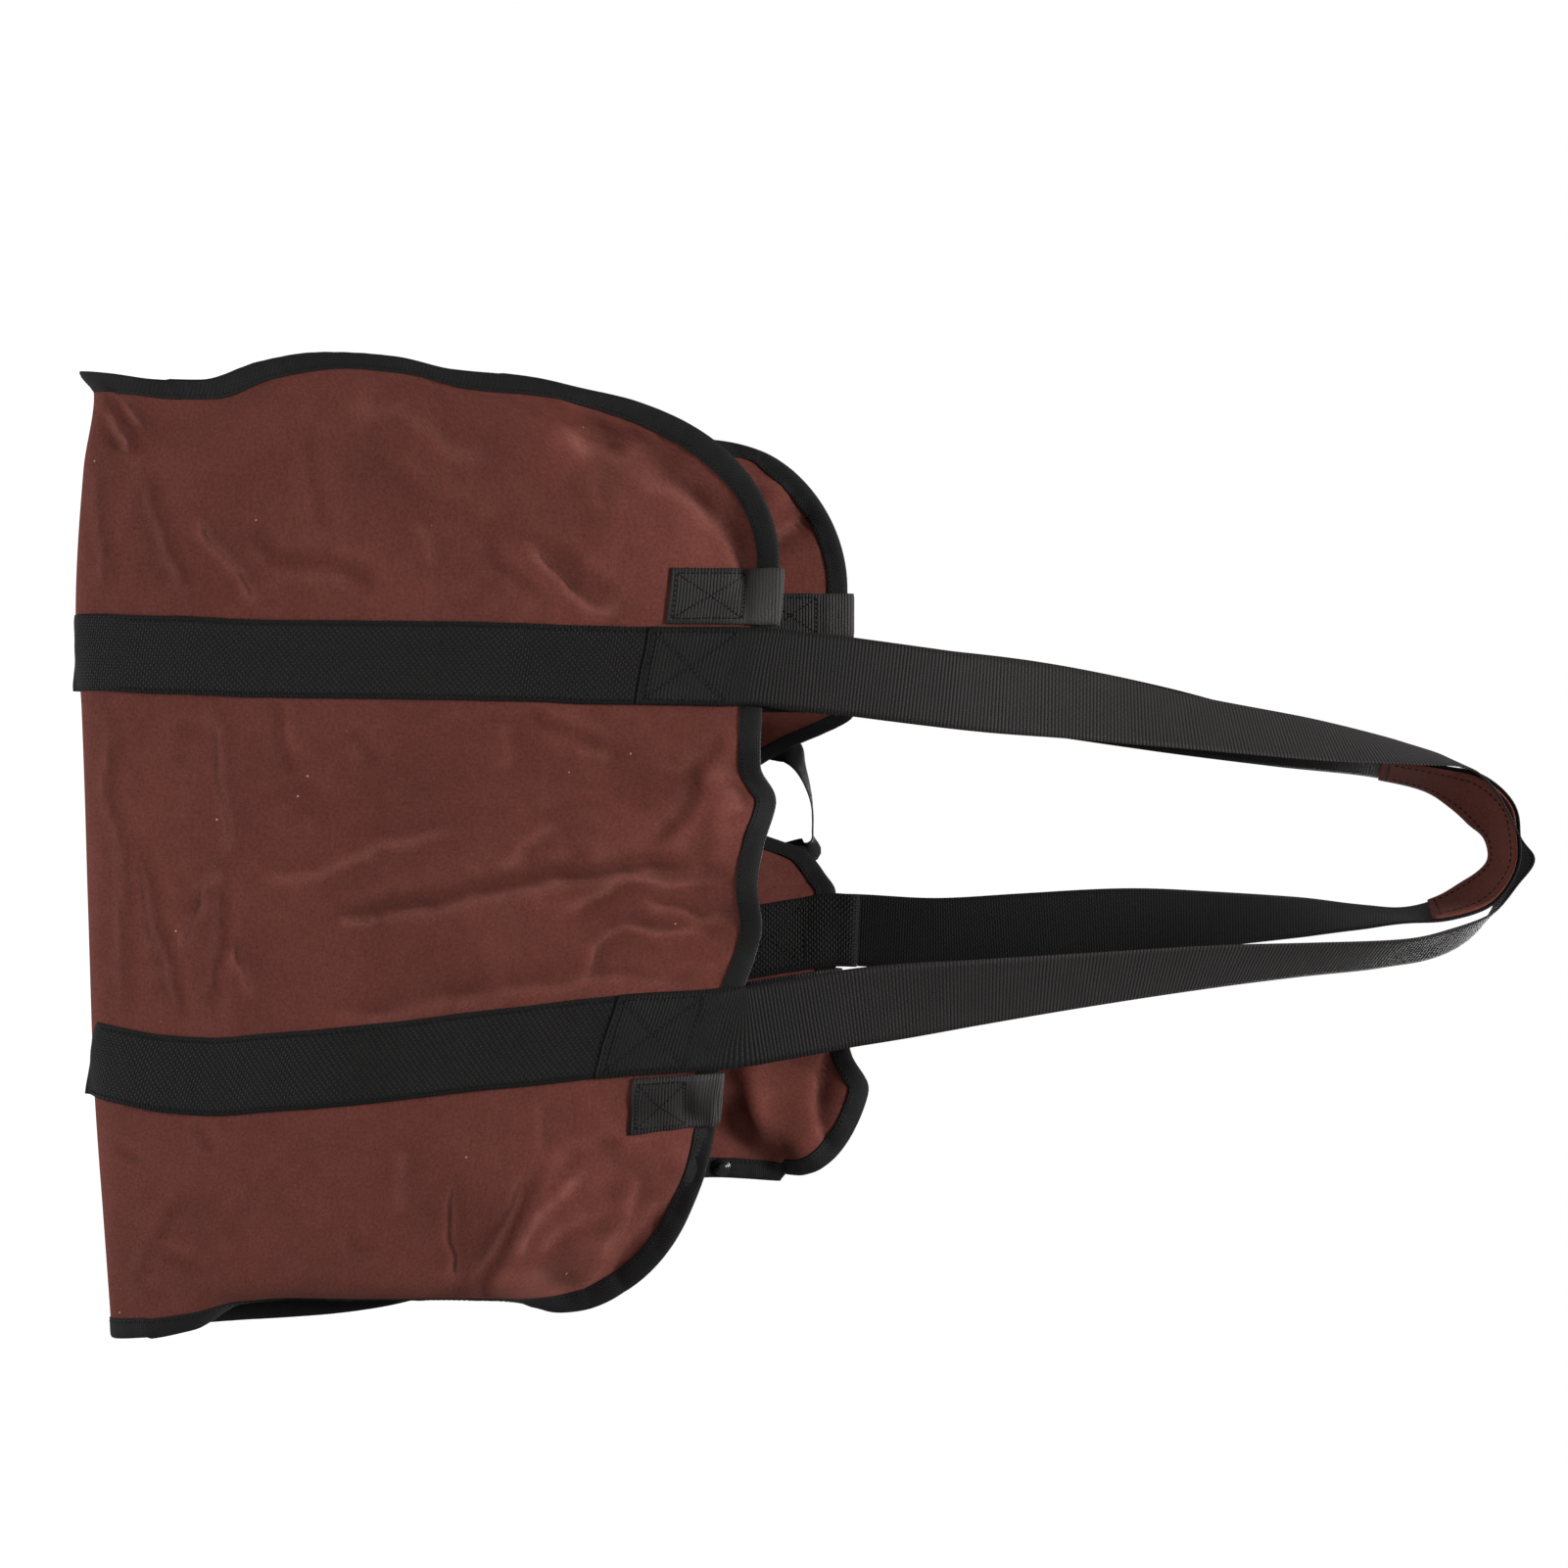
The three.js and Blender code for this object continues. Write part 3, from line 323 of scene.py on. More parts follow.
# Free stretch of each handle. down: share of its drop below the grip. across: share of the straps'
# half spacing. depth: share of its depth at the panel. turn: direction of its width, in degrees.
# tilt: how far its near edge dips, in degrees, 0 where it isn't given.
front_handle_rows = table(
    "down across depth turn tilt",
    (0.86, -0.885, 0.87, 1),
    (0.715, -0.82, 0.73, 9),
    (0.58, -0.77, 0.59, 23),
    (0.42, -0.682, 0.42, 44),
    (0.25, -0.6, 0.24, 56),
    (0.13, -0.54, 0.11, 71),
    (0.06, -0.488, 0.04, 82),
    (0.022, -0.39, 0.01, 88, 6),
    (-0.003, -0.28, 0, 84, 10),
    (-0.022, -0.13, 0, 80, 9),
    (-0.032, -0.02, 0, 88, 1),
    (-0.01, 0.125, 0, 92, 5),
    (0.01, 0.25, 0, 94, 10),
    (0.04, 0.345, 0.01, 100, 12),
    (0.085, 0.41, 0.05, 110, 6),
    (0.15, 0.452, 0.13, 115),
    (0.27, 0.48, 0.25, 120),
    (0.4, 0.51, 0.4, 128),
    (0.56, 0.563, 0.57, 138),
    (0.715, 0.62, 0.73, 152),
    (0.88, 0.685, 0.89, 176),
)
back_handle_rows = table(
    "down across depth turn tilt",
    (0.84, -0.885, 0.86, 178),
    (0.7, -0.825, 0.71, 168),
    (0.5, -0.705, 0.5, 148),
    (0.32, -0.578, 0.32, 124),
    (0.17, -0.467, 0.16, 105),
    (0.1, -0.412, 0.06, 103, -4),
    (0.05, -0.345, 0.02, 108, -12),
    (0.014, -0.235, 0, 110, -14),
    (-0.003, -0.12, 0, 100, -6),
    (-0.0063, 0, 0, 92, -6),
    (0.008, 0.08, 0, 85, -6),
    (0.04, 0.17, 0, 76, -4),
    (0.085, 0.235, 0.02, 78),
    (0.14, 0.268, 0.09, 83),
    (0.2, 0.28, 0.17, 76),
    (0.29, 0.285, 0.28, 63),
    (0.42, 0.3, 0.42, 47),
    (0.57, 0.325, 0.57, 24),
    (0.72, 0.365, 0.72, 10),
    (0.86, 0.395, 0.86, 2),
)
grip_reach = {"left": 0.18, "right": 0.11}

# Free stretch of the hanging loop. along: share of the way. rise: share of hang_rise.
hang_rows = table(
    "along rise turn",
    (0.02, 0.4, 6),
    (0.22, 0.8, 45),
    (0.5, 1, 68),
    (0.78, 0.85, 125),
    (0.98, 0.6, 178),
)

loop_rows = table(
    "panel side leg",
    ("front", "left", 68),
    ("front", "right", 54),
    ("back", "left", 60),
    ("back", "right", 60),
)

# Outer face of the binding. inside: distance inside the cut edge. out: share of binding_far.
binding_rows = table(
    "inside out",
    (binding_width, 0.94),
    (11.6, 1),
    (binding_seam, 0.94),
    (7, 1.08),
    (4, 1.14),
    (1.2, 1.08),
    (-0.6, 0.7),
)

# Half section of the stud. out: share of its radius. up: share of its height.
stud_rows = table(
    "out up",
    (0, 0),
    (0.86, 0),
    (0.97, 0.05),
    (1, 0.15),
    (1, 0.3),
    (0.95, 0.38),
    (0.8, 0.42),
    (0.64, 0.46),
    (0.6, 0.56),
    (0.58, 0.8),
    (0.5, 0.92),
    (0.34, 0.98),
    (0, 1),
)


# Tables and small helpers


def read(rows, key, at, column):
    """Smooth value of a table's column at places along another, without overshoot."""
    xs = np.array([row[key] for row in rows], float)
    ys = np.array([row[column] for row in rows], float)
    slope = np.diff(ys) / np.diff(xs)
    tangent = np.empty_like(ys)
    tangent[0], tangent[-1] = slope[0], slope[-1]
    before, after = slope[:-1], slope[1:]
    total = np.where(before * after > 0, before + after, 1)
    tangent[1:-1] = np.where(before * after > 0, 2 * before * after / total, 0)
    at = np.clip(np.asarray(at, float), xs[0], xs[-1])
    i = np.clip(np.searchsorted(xs, at, side="right") - 1, 0, len(xs) - 2)
    step = xs[i + 1] - xs[i]
    t = (at - xs[i]) / step
    low = ys[i] * (1 + 2 * t) * (1 - t) ** 2 + tangent[i] * step * t * (1 - t) ** 2
    high = ys[i + 1] * t * t * (3 - 2 * t) + tangent[i + 1] * step * t * t * (t - 1)
    return low + high


def smooth(start, end, value):
    t = np.clip((value - start) / (end - start), 0, 1)
    return t * t * (3 - 2 * t)


def unit(v):
    return v / np.maximum(np.linalg.norm(v, axis=-1, keepdims=True), 1e-12)


def waves(x, y, wavelength, seed, count=18):
    """Smooth seeded noise of about unit size, as a sum of plane waves."""
    rng = np.random.default_rng(seed)
    total = 0
    for _ in range(count):
        angle = rng.uniform(0, 2 * math.pi)
        k = 2 * math.pi / (wavelength * rng.uniform(0.7, 1.5))
        total = total + np.cos(k * (x * math.cos(angle) + y * math.sin(angle)) + rng.uniform(0, 6.3))
    return total * math.sqrt(2 / count)


# The canvas surface

panels = {
    "front": dict(sign=-1, height=front_height, lean=front_lean, sections=front_sections, rolls=front_rolls),
    "back": dict(sign=1, height=back_height, lean=back_lean, sections=back_sections, rolls=back_rolls),
}


def bottom_height(x):
    return bottom_z + front_height * read(bottom_rows, "across", x / half_width, "rise")


def top_height(x, name):
    height = panels[name]["height"]
    t = np.clip((np.abs(x) - corner_start) / corner_radius, 0, 1)
    drop = np.where(x < 0, corner_drop[name]["left"], corner_drop[name]["right"]) * height
    line = bottom_z + height * (1 + read(edge_rows, "across", x / half_width, name))
    return line - drop * (1 - np.sqrt(1 - t * t))


def across_at(x, section):
    left = section["left_strap"] * half_spacing
    right = section["right_strap"] * half_spacing
    flat = [-half_width, -strap_outer, -strap_inner, strap_inner, strap_outer, half_width]
    placed = [
        section["left"] * half_width,
        left - half_webbing,
        left + half_webbing,
        right - half_webbing,
        right + half_webbing,
        section["right"] * half_width,
    ]
    i = np.clip(np.searchsorted(flat, x, side="right") - 1, 0, 4)
    flat = np.array(flat)
    placed = np.stack(np.broadcast_arrays(*placed, x)[:6])
    low = np.take_along_axis(placed, i[None], 0)[0]
    high = np.take_along_axis(placed, i[None] + 1, 0)[0]
    return low + (high - low) * (x - flat[i]) / (flat[i + 1] - flat[i])


def dents(x, share, name):
    depth = 0
    for row in (r for r in dent_rows if r["panel"] == name):
        dx = x / half_width - row["across"]
        dz = (share - row["height"]) * panels[name]["height"] / half_width
        c, s = math.cos(math.radians(row["angle"])), math.sin(math.radians(row["angle"]))
        along = (dx * s + dz * c) / row["length"]
        beside = (dx * c - dz * s) / row["width"]
        depth = depth + row["depth"] * dent_depth * np.exp(-along * along - beside * beside)
    return depth * smooth(0.02, 0.15, share)


def crease_depth(x, rise, row):
    """Depth of one crease: a rounded ridge, of its own width on each side, fading at both ends."""
    path = np.array(row["path"], float)
    steps = np.diff(path, axis=0)
    lengths = np.hypot(*steps.T)
    starts = np.concatenate([[0], np.cumsum(lengths)])
    nearest = np.full(x.shape, 1e9)
    beside = np.zeros(x.shape)
    along = np.zeros(x.shape)
    for corner, step, length, start in zip(path, steps, lengths, starts):
        ahead = ((x - corner[0]) * step[0] + (rise - corner[1]) * step[1]) / length
        side = ((rise - corner[1]) * step[0] - (x - corner[0]) * step[1]) / length
        over = ahead - np.clip(ahead, 0, length)
        distance = np.hypot(over, side)
        closer = distance < nearest
        nearest = np.where(closer, distance, nearest)
        beside = np.where(closer, np.copysign(distance, side), beside)
        along = np.where(closer, start + np.clip(ahead, 0, length), along)
    total = starts[-1]
    ends = smooth(-0.02 * total, 0.2 * total, along) * smooth(1.02 * total, 0.8 * total, along)
    width = np.where(beside < 0, row["before"], row["after"])
    crest = 0.25
    reach = np.sqrt((beside / width) ** 2 + crest * crest) - crest
    return row["depth"] * ends * np.exp(-1.25 * reach)


def folded_back(x, rise):
    """How far the corner beyond the fold falls back, clear of the strap."""
    (x1, z1), (x2, z2) = corner_fold["start"], corner_fold["end"]
    length = math.hypot(x2 - x1, z2 - z1)
    beyond = ((x - x1) * (z1 - z2) + (rise - z1) * (x2 - x1)) / length
    rounded = (beyond + np.sqrt(beyond * beyond + 25)) / 2
    share = 1 - np.exp(-rounded / corner_fold["width"])
    return corner_fold["depth"] * share * smooth(strap_outer, strap_outer + 45, x)


CREASE_STEP = 1.5
CREASE_MARGIN = 6
RIDGE_RADIUS = 9
# Painted highlight: how much of the folded-back corner's fall counts as standing out, which makes that
# corner paler.
CORNER_PAINTED_HIGHLIGHT = 0.05


def crease_map(name):
    """Fine folds of one panel on an even grid: the table's creases and seeded small waves."""
    x, rise = np.meshgrid(
        np.arange(-half_width - CREASE_MARGIN, half_width + CREASE_MARGIN + 1, CREASE_STEP),
        np.arange(0, panels[name]["height"] * 1.1, CREASE_STEP),
        indexing="ij",
    )
    seed = 5 if name == "front" else 9
    bent_x = x + 1.8 * waves(x, rise, 60, seed) + 0.6 * waves(x, rise, 24, seed + 1)
    bent_rise = rise + 1.8 * waves(x, rise, 60, seed + 2) + 0.6 * waves(x, rise, 24, seed + 3)
    drawn = sum(crease_depth(bent_x, bent_rise, row) for row in crease_rows[name])
    depth = crease_gain[name] * drawn
    if name == "front":
        depth = depth + folded_back(bent_x, bent_rise)
    ridged = 1 - np.abs(waves(bent_x, bent_rise, 85, seed + 4, 12))
    small = 1 - np.abs(waves(bent_x, bent_rise, 34, seed + 5, 12))
    patchy = smooth(-0.4, 1.4, waves(x, rise, 150, seed + 6, 8))
    depth = depth + 1.1 * waves(x, rise, 130, seed + 7)
    depth = depth + (0.55 * ridged + 0.3 * small) * patchy + 0.09 * waves(x, rise, 13, seed + 8)
    return depth * smooth(0, 26, rise)


crease_maps = {}


def creases(x, rise, name):
    """Depth of the fine folds at places of a panel."""
    if name not in crease_maps:
        crease_maps[name] = crease_map(name)
    depths = crease_maps[name]
    u = np.clip((x + half_width + CREASE_MARGIN) / CREASE_STEP, 0, depths.shape[0] - 1.001)
    v = np.clip(rise / CREASE_STEP, 0, depths.shape[1] - 1.001)
    i, j = u.astype(int), v.astype(int)
    s, t = u - i, v - j
    low = depths[i, j] * (1 - t) + depths[i, j + 1] * t
    high = depths[i + 1, j] * (1 - t) + depths[i + 1, j + 1] * t
    return low + (high - low) * s


def rubbed_and_painted_light(x, rise, name):
    """How far the cloth stands out beyond its surroundings. It tints the canvas: paler where it stands out,
    as rubbed wear and partly painted highlight; darker in hollows and creases, as painted shade; paler on
    the folded-back corner, as painted highlight.
    """
    near = creases(x, rise, name)
    # Painted highlight: the folded-back corner counts as standing out, so its colour is made paler.
    if name == "front":
        near = near - CORNER_PAINTED_HIGHLIGHT * folded_back(x, rise)
    around = 0
    for angle in np.radians(np.arange(0, 360, 45)):
        beside = x + RIDGE_RADIUS * math.cos(angle)
        around = around + creases(beside, np.maximum(rise + RIDGE_RADIUS * math.sin(angle), 0), name)
    return near - around / 8


def canvas_point(x, rise, name, detail=True):
    panel = panels[name]
    height = rise / panel["height"]
    section = {k: read(panel["sections"], "height", height, k) for k in panel["sections"][0]}
    pinch = 1 - side_pinch * smooth(corner_start, half_width, np.abs(x))
    belly = np.sqrt(1 - (1 - np.clip(rise / fold_height, 0, 1)) ** 2)
    out = fold_depth * pinch * belly + panel["lean"] * section["lean"] + dents(x, height, name)
    if detail:
        out = out + creases(x, rise, name)
    between = np.abs(x) < strap_inner
    below = (1 - height) * panel["height"]
    phase = (x + strap_inner) / (2 * strap_inner) * math.pi
    if name == "front":
        out = out + np.where(between, pucker * np.sin(4 * phase) * np.exp(-below / pucker_fade), 0)
    else:
        out = out + np.where(between, back_fold * np.sin(phase) ** 2 * np.exp(-below / back_fold_fade), 0)
    left, right = (read(panel["rolls"], "height", height, k) for k in ("left", "right"))
    angle = np.radians(np.where(x < 0, left, right))
    beyond = np.abs(x) - (half_width - roll_width)
    bend = np.maximum(angle, 0.01) / roll_width
    rolled = (beyond > 0) & (angle > 0.01)
    side = np.sign(x)
    start = across_at(side * (half_width - roll_width), section)
    across = np.where(rolled, start + side * np.sin(bend * beyond) / bend, across_at(x, section))
    out = np.where(rolled, out - (1 - np.cos(bend * beyond)) / bend, out)
    return np.stack([across, panel["sign"] * out, bottom_height(x) + rise], -1)


def canvas_normal(x, rise, name, detail=True):
    """Direction out of the bag. Differences are taken on the side where the sheet goes on."""
    step = 0.8
    dx = canvas_point(x + step, rise, name, detail) - canvas_point(x - step, rise, name, detail)
    low = np.maximum(rise - step, 0.02)
    dz = canvas_point(x, low + 2 * step, name, detail) - canvas_point(x, low, name, detail)
    return unit(np.cross(dx, dz)) * (-panels[name]["sign"])


def full_rise(x, name):
    return top_height(x, name) - bottom_height(x)


def on_panel(x, below, name, offset):
    """A place by its distance below the cut edge, moved out from the canvas."""
    x = np.asarray(x, float)
    rise = np.broadcast_to(full_rise(x, name) - below, x.shape)
    return canvas_point(x, rise, name) + canvas_normal(x, rise, name) * np.asarray(offset)[..., None]


# Meshes


def make_mesh(name, points, faces, uvs=None, material=None, smooth_faces=True):
    mesh = bpy.data.meshes.new(name)
    mesh.from_pydata((np.asarray(points) / 1000).tolist(), [], [list(map(int, f)) for f in faces])
    mesh.update()
    if uvs is not None:
        layer = mesh.uv_layers.new(name="flat")
        loops = np.empty(len(mesh.loops), np.int32)
        mesh.loops.foreach_get("vertex_index", loops)
        layer.data.foreach_set("uv", (np.asarray(uvs)[loops] / 1000).astype(np.float32).ravel())
    if smooth_faces:
        mesh.polygons.foreach_set("use_smooth", [True] * len(mesh.polygons))
    obj = bpy.data.objects.new(name, mesh)
    bpy.context.scene.collection.objects.link(obj)
    if material:
        mesh.materials.append(material)
    return obj


def grid_normals(points):
    rows = np.gradient(points, axis=0)
    columns = np.gradient(points, axis=1)
    return unit(np.cross(columns, rows))


def sheet_mesh(name, points, uv, thickness, material, edge_share=0.5):
    """A closed wall round a grid of points, thinner along its rim."""
    rows, wide = points.shape[:2]
    normal = grid_normals(points)
    half = np.full((rows, wide), thickness / 2)
    half[:, [0, -1]] *= edge_share
    half[[0, -1], :] *= edge_share
    top = points + normal * half[..., None]
    low = points - normal * half[..., None]
    index = np.arange(rows * wide).reshape(rows, wide)
    a, b = index[:-1, :-1].ravel(), index[:-1, 1:].ravel()
    c, d = index[1:, 1:].ravel(), index[1:, :-1].ravel()
    size = rows * wide
    faces = [np.stack([a, b, c, d], 1), np.stack([d, c, b, a], 1) + size]
    rim = np.concatenate([index[0, :], index[1:, -1], index[-1, -2::-1], index[-2:0:-1, 0]])
    after = np.roll(rim, -1)
    faces.append(np.stack([after, rim, rim + size, after + size], 1))
    both = np.concatenate([top.reshape(-1, 3), low.reshape(-1, 3)])
    return make_mesh(name, both, np.concatenate(faces), np.tile(uv.reshape(-1, 2), (2, 1)), material)


def lengths(points):
    """Distance along the middle column of a grid."""
    middle = points[:, points.shape[1] // 2]
    return np.concatenate([[0], np.cumsum(np.linalg.norm(np.diff(middle, axis=0), axis=1))])


def ribbon_mesh(name, points, width, thickness, material):
    u = np.linspace(-width / 2, width / 2, points.shape[1])
    uv = np.stack(np.broadcast_arrays(u[None, :], lengths(points)[:, None]), -1)
    return sheet_mesh(name, points, uv, thickness, material)


# Materials


def new_material(name, roughness, specular, sheen=0):
    material = bpy.data.materials.new(name)
    material.use_nodes = True
    shader = material.node_tree.nodes["Principled BSDF"]
    shader.inputs["Roughness"].default_value = roughness
    shader.inputs["Specular IOR Level"].default_value = specular
    shader.inputs["Sheen Weight"].default_value = sheen
    shader.inputs["Sheen Roughness"].default_value = 0.6
    return material, shader


class Nodes:
    """Short ways to add nodes to a material."""

    def __init__(self, material):
        self.tree = material.node_tree

    def add(self, kind, inputs=None, **settings):
        node = self.tree.nodes.new(kind)
        for key, value in settings.items():
            setattr(node, key, value)
        for key, value in (inputs or {}).items():
            socket = node.inputs[key]
            if isinstance(value, bpy.types.NodeSocket):
                self.tree.links.new(value, socket)
            else:
                socket.default_value = value
        return node

    def math(self, operation, *values):
        node = self.add("ShaderNodeMath", dict(enumerate(values)), operation=operation)
        return node.outputs[0]

    def uv(self):
        spots = self.add("ShaderNodeUVMap", uv_map="flat").outputs[0]
        parts = self.add("ShaderNodeSeparateXYZ", {0: spots})
        return spots, parts.outputs[0], parts.outputs[1]

    def noise(self, where, scale, detail=3, rough=0.55):
        inputs = {"Vector": where, "Scale": scale, "Detail": detail, "Roughness": rough}
        return self.add("ShaderNodeTexNoise", inputs).outputs[0]

    def ramp(self, value, stops):
        node = self.add("ShaderNodeValToRGB", {0: value})
        for i, (place, color) in enumerate(stops):
            if i >= 2:
                node.color_ramp.elements.new(place)
            node.color_ramp.elements[i].position = place
            node.color_ramp.elements[i].color = (*color, 1)
        return node.outputs[0]

    def mix(self, share, first, second):
        node = self.add("ShaderNodeMix", {0: share, 6: first, 7: second}, data_type="RGBA")
        return node.outputs[2]

    def times(self, color, level):
        """A colour times a plain number."""
        tint = self.add("ShaderNodeCombineXYZ", {0: level, 1: level, 2: level}).outputs[0]
        settings = dict(data_type="RGBA", blend_type="MULTIPLY")
        return self.add("ShaderNodeMix", {0: 1.0, 6: color, 7: tint}, **settings).outputs[2]

    def bump(self, height, strength, distance, normal=None):
        inputs = {"Height": height, "Strength": strength, "Distance": distance}
        if normal is not None:
            inputs["Normal"] = normal
        return self.add("ShaderNodeBump", inputs).outputs[0]


def weave_height(nodes, u, v, across_pitch, along_pitch, ribs=0):
    """Plain weave: threads across and along that pass over and under each other in turn.

    ribs: share of it that is even ribs across the webbing.
    """
    a = nodes.math("MULTIPLY", u, math.pi / across_pitch)
    b = nodes.math("MULTIPLY", v, math.pi / along_pitch)
    warp = nodes.math("ABSOLUTE", nodes.math("SINE", a))
    weft = nodes.math("ABSOLUTE", nodes.math("SINE", b))
    turn_a = nodes.math("MODULO", nodes.math("FLOOR", nodes.math("DIVIDE", u, across_pitch)), 2)
    turn_b = nodes.math("MODULO", nodes.math("FLOOR", nodes.math("DIVIDE", v, along_pitch)), 2)
    over = nodes.math("COMPARE", nodes.math("ABSOLUTE", turn_a), nodes.math("ABSOLUTE", turn_b), 0.1)
    under = nodes.math("SUBTRACT", 1, over)
    plain = nodes.math("ADD", nodes.math("MULTIPLY", warp, over), nodes.math("MULTIPLY", weft, under))
    plain = nodes.math("MULTIPLY", plain, 1 - ribs)
    return nodes.math("MULTIPLY_ADD", weft, ribs, plain)


def canvas_material():
    material, shader = new_material("brown_canvas", 0.92, 0.1, 0.06)
    nodes = Nodes(material)
    spots, u, v = nodes.uv()
    weave = weave_height(nodes, u, v, 0.0009, 0.0009)
    broad = nodes.noise(spots, 7, 4, 0.6)
    rubbed = nodes.noise(spots, 38, 5, 0.7)
    grain = nodes.noise(spots, 900, 3, 0.8)
    tone = nodes.ramp(broad, [(0.3, (0.107, 0.0292, 0.0220)), (0.72, (0.135, 0.0390, 0.0300))])
    worn = nodes.ramp(rubbed, [(0.42, (0, 0, 0)), (0.75, (0.32, 0.32, 0.32))])
    tone = nodes.mix(worn, tone, (0.175, 0.0565, 0.0450, 1))
    # Tint from the mesh's ridge attribute: paler where the cloth stands out, as rubbed wear and partly
    # painted highlight.
    ridge = nodes.add("ShaderNodeAttribute", attribute_name="ridge").outputs["Fac"]
    high = nodes.ramp(nodes.math("MULTIPLY", ridge, 0.35), [(0, (0, 0, 0)), (1, (0.65, 0.65, 0.65))])
    tone = nodes.mix(high, tone, (0.215, 0.078, 0.063, 1))
    # Painted shade: darker in hollows and creases, where the cloth lies below its surroundings.
    low = nodes.ramp(nodes.math("MULTIPLY", ridge, -0.35), [(0, (0, 0, 0)), (1, (0.6, 0.6, 0.6))])
    tone = nodes.mix(low, tone, (0.070, 0.0170, 0.0125, 1))
    thread = nodes.math("MULTIPLY_ADD", weave, 0.26, 0.80)
    speck = nodes.math("MULTIPLY_ADD", grain, 0.5, 0.76)
    coarse = nodes.math("MULTIPLY_ADD", nodes.noise(spots, 430, 2, 0.6), 0.9, 0.55)
    shade = nodes.math("MULTIPLY", nodes.math("MULTIPLY", thread, speck), coarse)
    tone = nodes.times(tone, shade)
    lint = nodes.add("ShaderNodeTexVoronoi", {"Vector": spots, "Scale": 70.0}, feature="F1")
    mask = nodes.math("LESS_THAN", lint.outputs["Distance"], 0.045)
    chance = nodes.add("ShaderNodeSeparateColor", {0: lint.outputs["Color"]}).outputs[0]
    keep = nodes.math("GREATER_THAN", chance, 0.86)
    mask = nodes.math("MULTIPLY", nodes.math("MULTIPLY", mask, keep), 0.55)
    color = nodes.mix(mask, tone, (0.62, 0.5, 0.44, 1))
    nodes.tree.links.new(color, shader.inputs["Base Color"])
    shader.inputs["Sheen Tint"].default_value = (0.85, 0.5, 0.42, 1)
    fuzz = nodes.bump(grain, 0.35, 0.0006)
    normal = nodes.bump(weave, 0.35, 0.0004, fuzz)
    nodes.tree.links.new(normal, shader.inputs["Normal"])
    return material


def webbing_material(name, tone, pitches, strength, ribs, lighter=None):
    """Black woven webbing, a little lighter where the weave stands up.

    lighter: painted light, a stretch made lighter where it would catch more light: kind of coordinate, its
    height where that stretch starts and is full, how much.
    """
    material, shader = new_material(name, 0.62, 0.13, 0.02)
    nodes = Nodes(material)
    spots, u, v = nodes.uv()
    across_pitch, along_pitch = pitches
    weave = weave_height(nodes, u, v, across_pitch, along_pitch, ribs)
    dust = nodes.noise(spots, 45, 4, 0.65)
    grain = nodes.noise(spots, 1300, 2, 0.7)
    dark = tuple(t * 0.5 for t in tone)
    light = tuple(t * 1.6 for t in tone)
    level = nodes.math("ADD", nodes.math("MULTIPLY", weave, 0.55), nodes.math("MULTIPLY", grain, 0.45))
    color = nodes.ramp(level, [(0.15, dark), (0.8, light)])
    share = nodes.ramp(dust, [(0.45, (0, 0, 0)), (0.8, (0.35, 0.35, 0.35))])
    color = nodes.mix(share, color, (*(t * 1.9 for t in tone), 1))
    # Painted light: a stretch of the webbing is made lighter by its height, where it catches more light.
    if lighter:
        where, start, full, amount = lighter
        place = nodes.add("ShaderNodeTexCoord").outputs[where]
        value = nodes.add("ShaderNodeSeparateXYZ", {0: place}).outputs[2]
        inputs = {"Value": value, "From Min": start, "From Max": full, "To Min": 1, "To Max": amount}
        level = nodes.add("ShaderNodeMapRange", inputs, interpolation_type="SMOOTHSTEP").outputs[0]
        color = nodes.times(color, level)
    nodes.tree.links.new(color, shader.inputs["Base Color"])
    normal = nodes.bump(weave, strength, 0.0009)
    nodes.tree.links.new(normal, shader.inputs["Normal"])
    return material


def plain_material(name, color, roughness, specular, scale=500, amount=0.35):
    material, shader = new_material(name, roughness, specular)
    nodes = Nodes(material)
    where = nodes.add("ShaderNodeTexCoord").outputs["Object"]
    grain = nodes.noise(where, scale, 3)
    low = tuple(c * (1 - amount) for c in color)
    high = tuple(c * (1 + amount) for c in color)
    tone = nodes.ramp(grain, [(0.3, low), (0.7, high)])
    nodes.tree.links.new(tone, shader.inputs["Base Color"])
    nodes.tree.links.new(nodes.bump(grain, 0.1, 0.0003), shader.inputs["Normal"])
    return material


canvas_look = canvas_material()
# Painted light: the handles are made lighter where they rise free above the panels.
handle_rise_painted_light = ("Object", -0.5, -0.3, 2.9)
# Painted highlight: the side loops are made lighter toward their fold.
loop_fold_painted_highlight = ("Generated", 0.4, 0.75, 2.1)
black = (0.0056, 0.0050, 0.0049)
# Painted shade: the inner handle, behind the outer one, gets a darker black.
back_handle_shaded_black = (0.0050, 0.0046, 0.0047)
loop_black = (0.0160, 0.0150, 0.0146)
strap_look = webbing_material("strap_webbing", black, (0.0019, 0.0019), 0.7, 0.1)
handle_look = webbing_material("handle_webbing", black, (0.0019, 0.0023), 0.65, 0.75, handle_rise_painted_light)
back_handle_look = webbing_material("back_handle_webbing", back_handle_shaded_black, (0.0016, 0.0018), 0.4, 0.5)
loop_look = webbing_material("loop_webbing", loop_black, (0.0018, 0.0021), 0.7, 0.75, loop_fold_painted_highlight)
tape_look = webbing_material("binding_tape", (0.0075, 0.0070, 0.0070), (0.0012, 0.0014), 0.4, 0.2)
thread_look = plain_material("black_thread", (0.0035, 0.0033, 0.0033), 0.6, 0.2)
brown_thread_look = plain_material("brown_thread", (0.016, 0.007, 0.006), 0.7, 0.2)
stud_look = plain_material("black_metal", (0.012, 0.012, 0.0125), 0.2, 0.6, 120, 0.15)
shader = stud_look.node_tree.nodes["Principled BSDF"]
shader.inputs["Metallic"].default_value = 0.4


# The canvas

pieces = {}


def half_columns(flat_steps, corner_steps):
    flat = np.linspace(0, corner_start, flat_steps + 1)[1:]
    turned = corner_start + corner_radius * np.sin(np.linspace(0, math.pi / 2, corner_steps + 1)[1:])
    return np.concatenate([flat, turned])


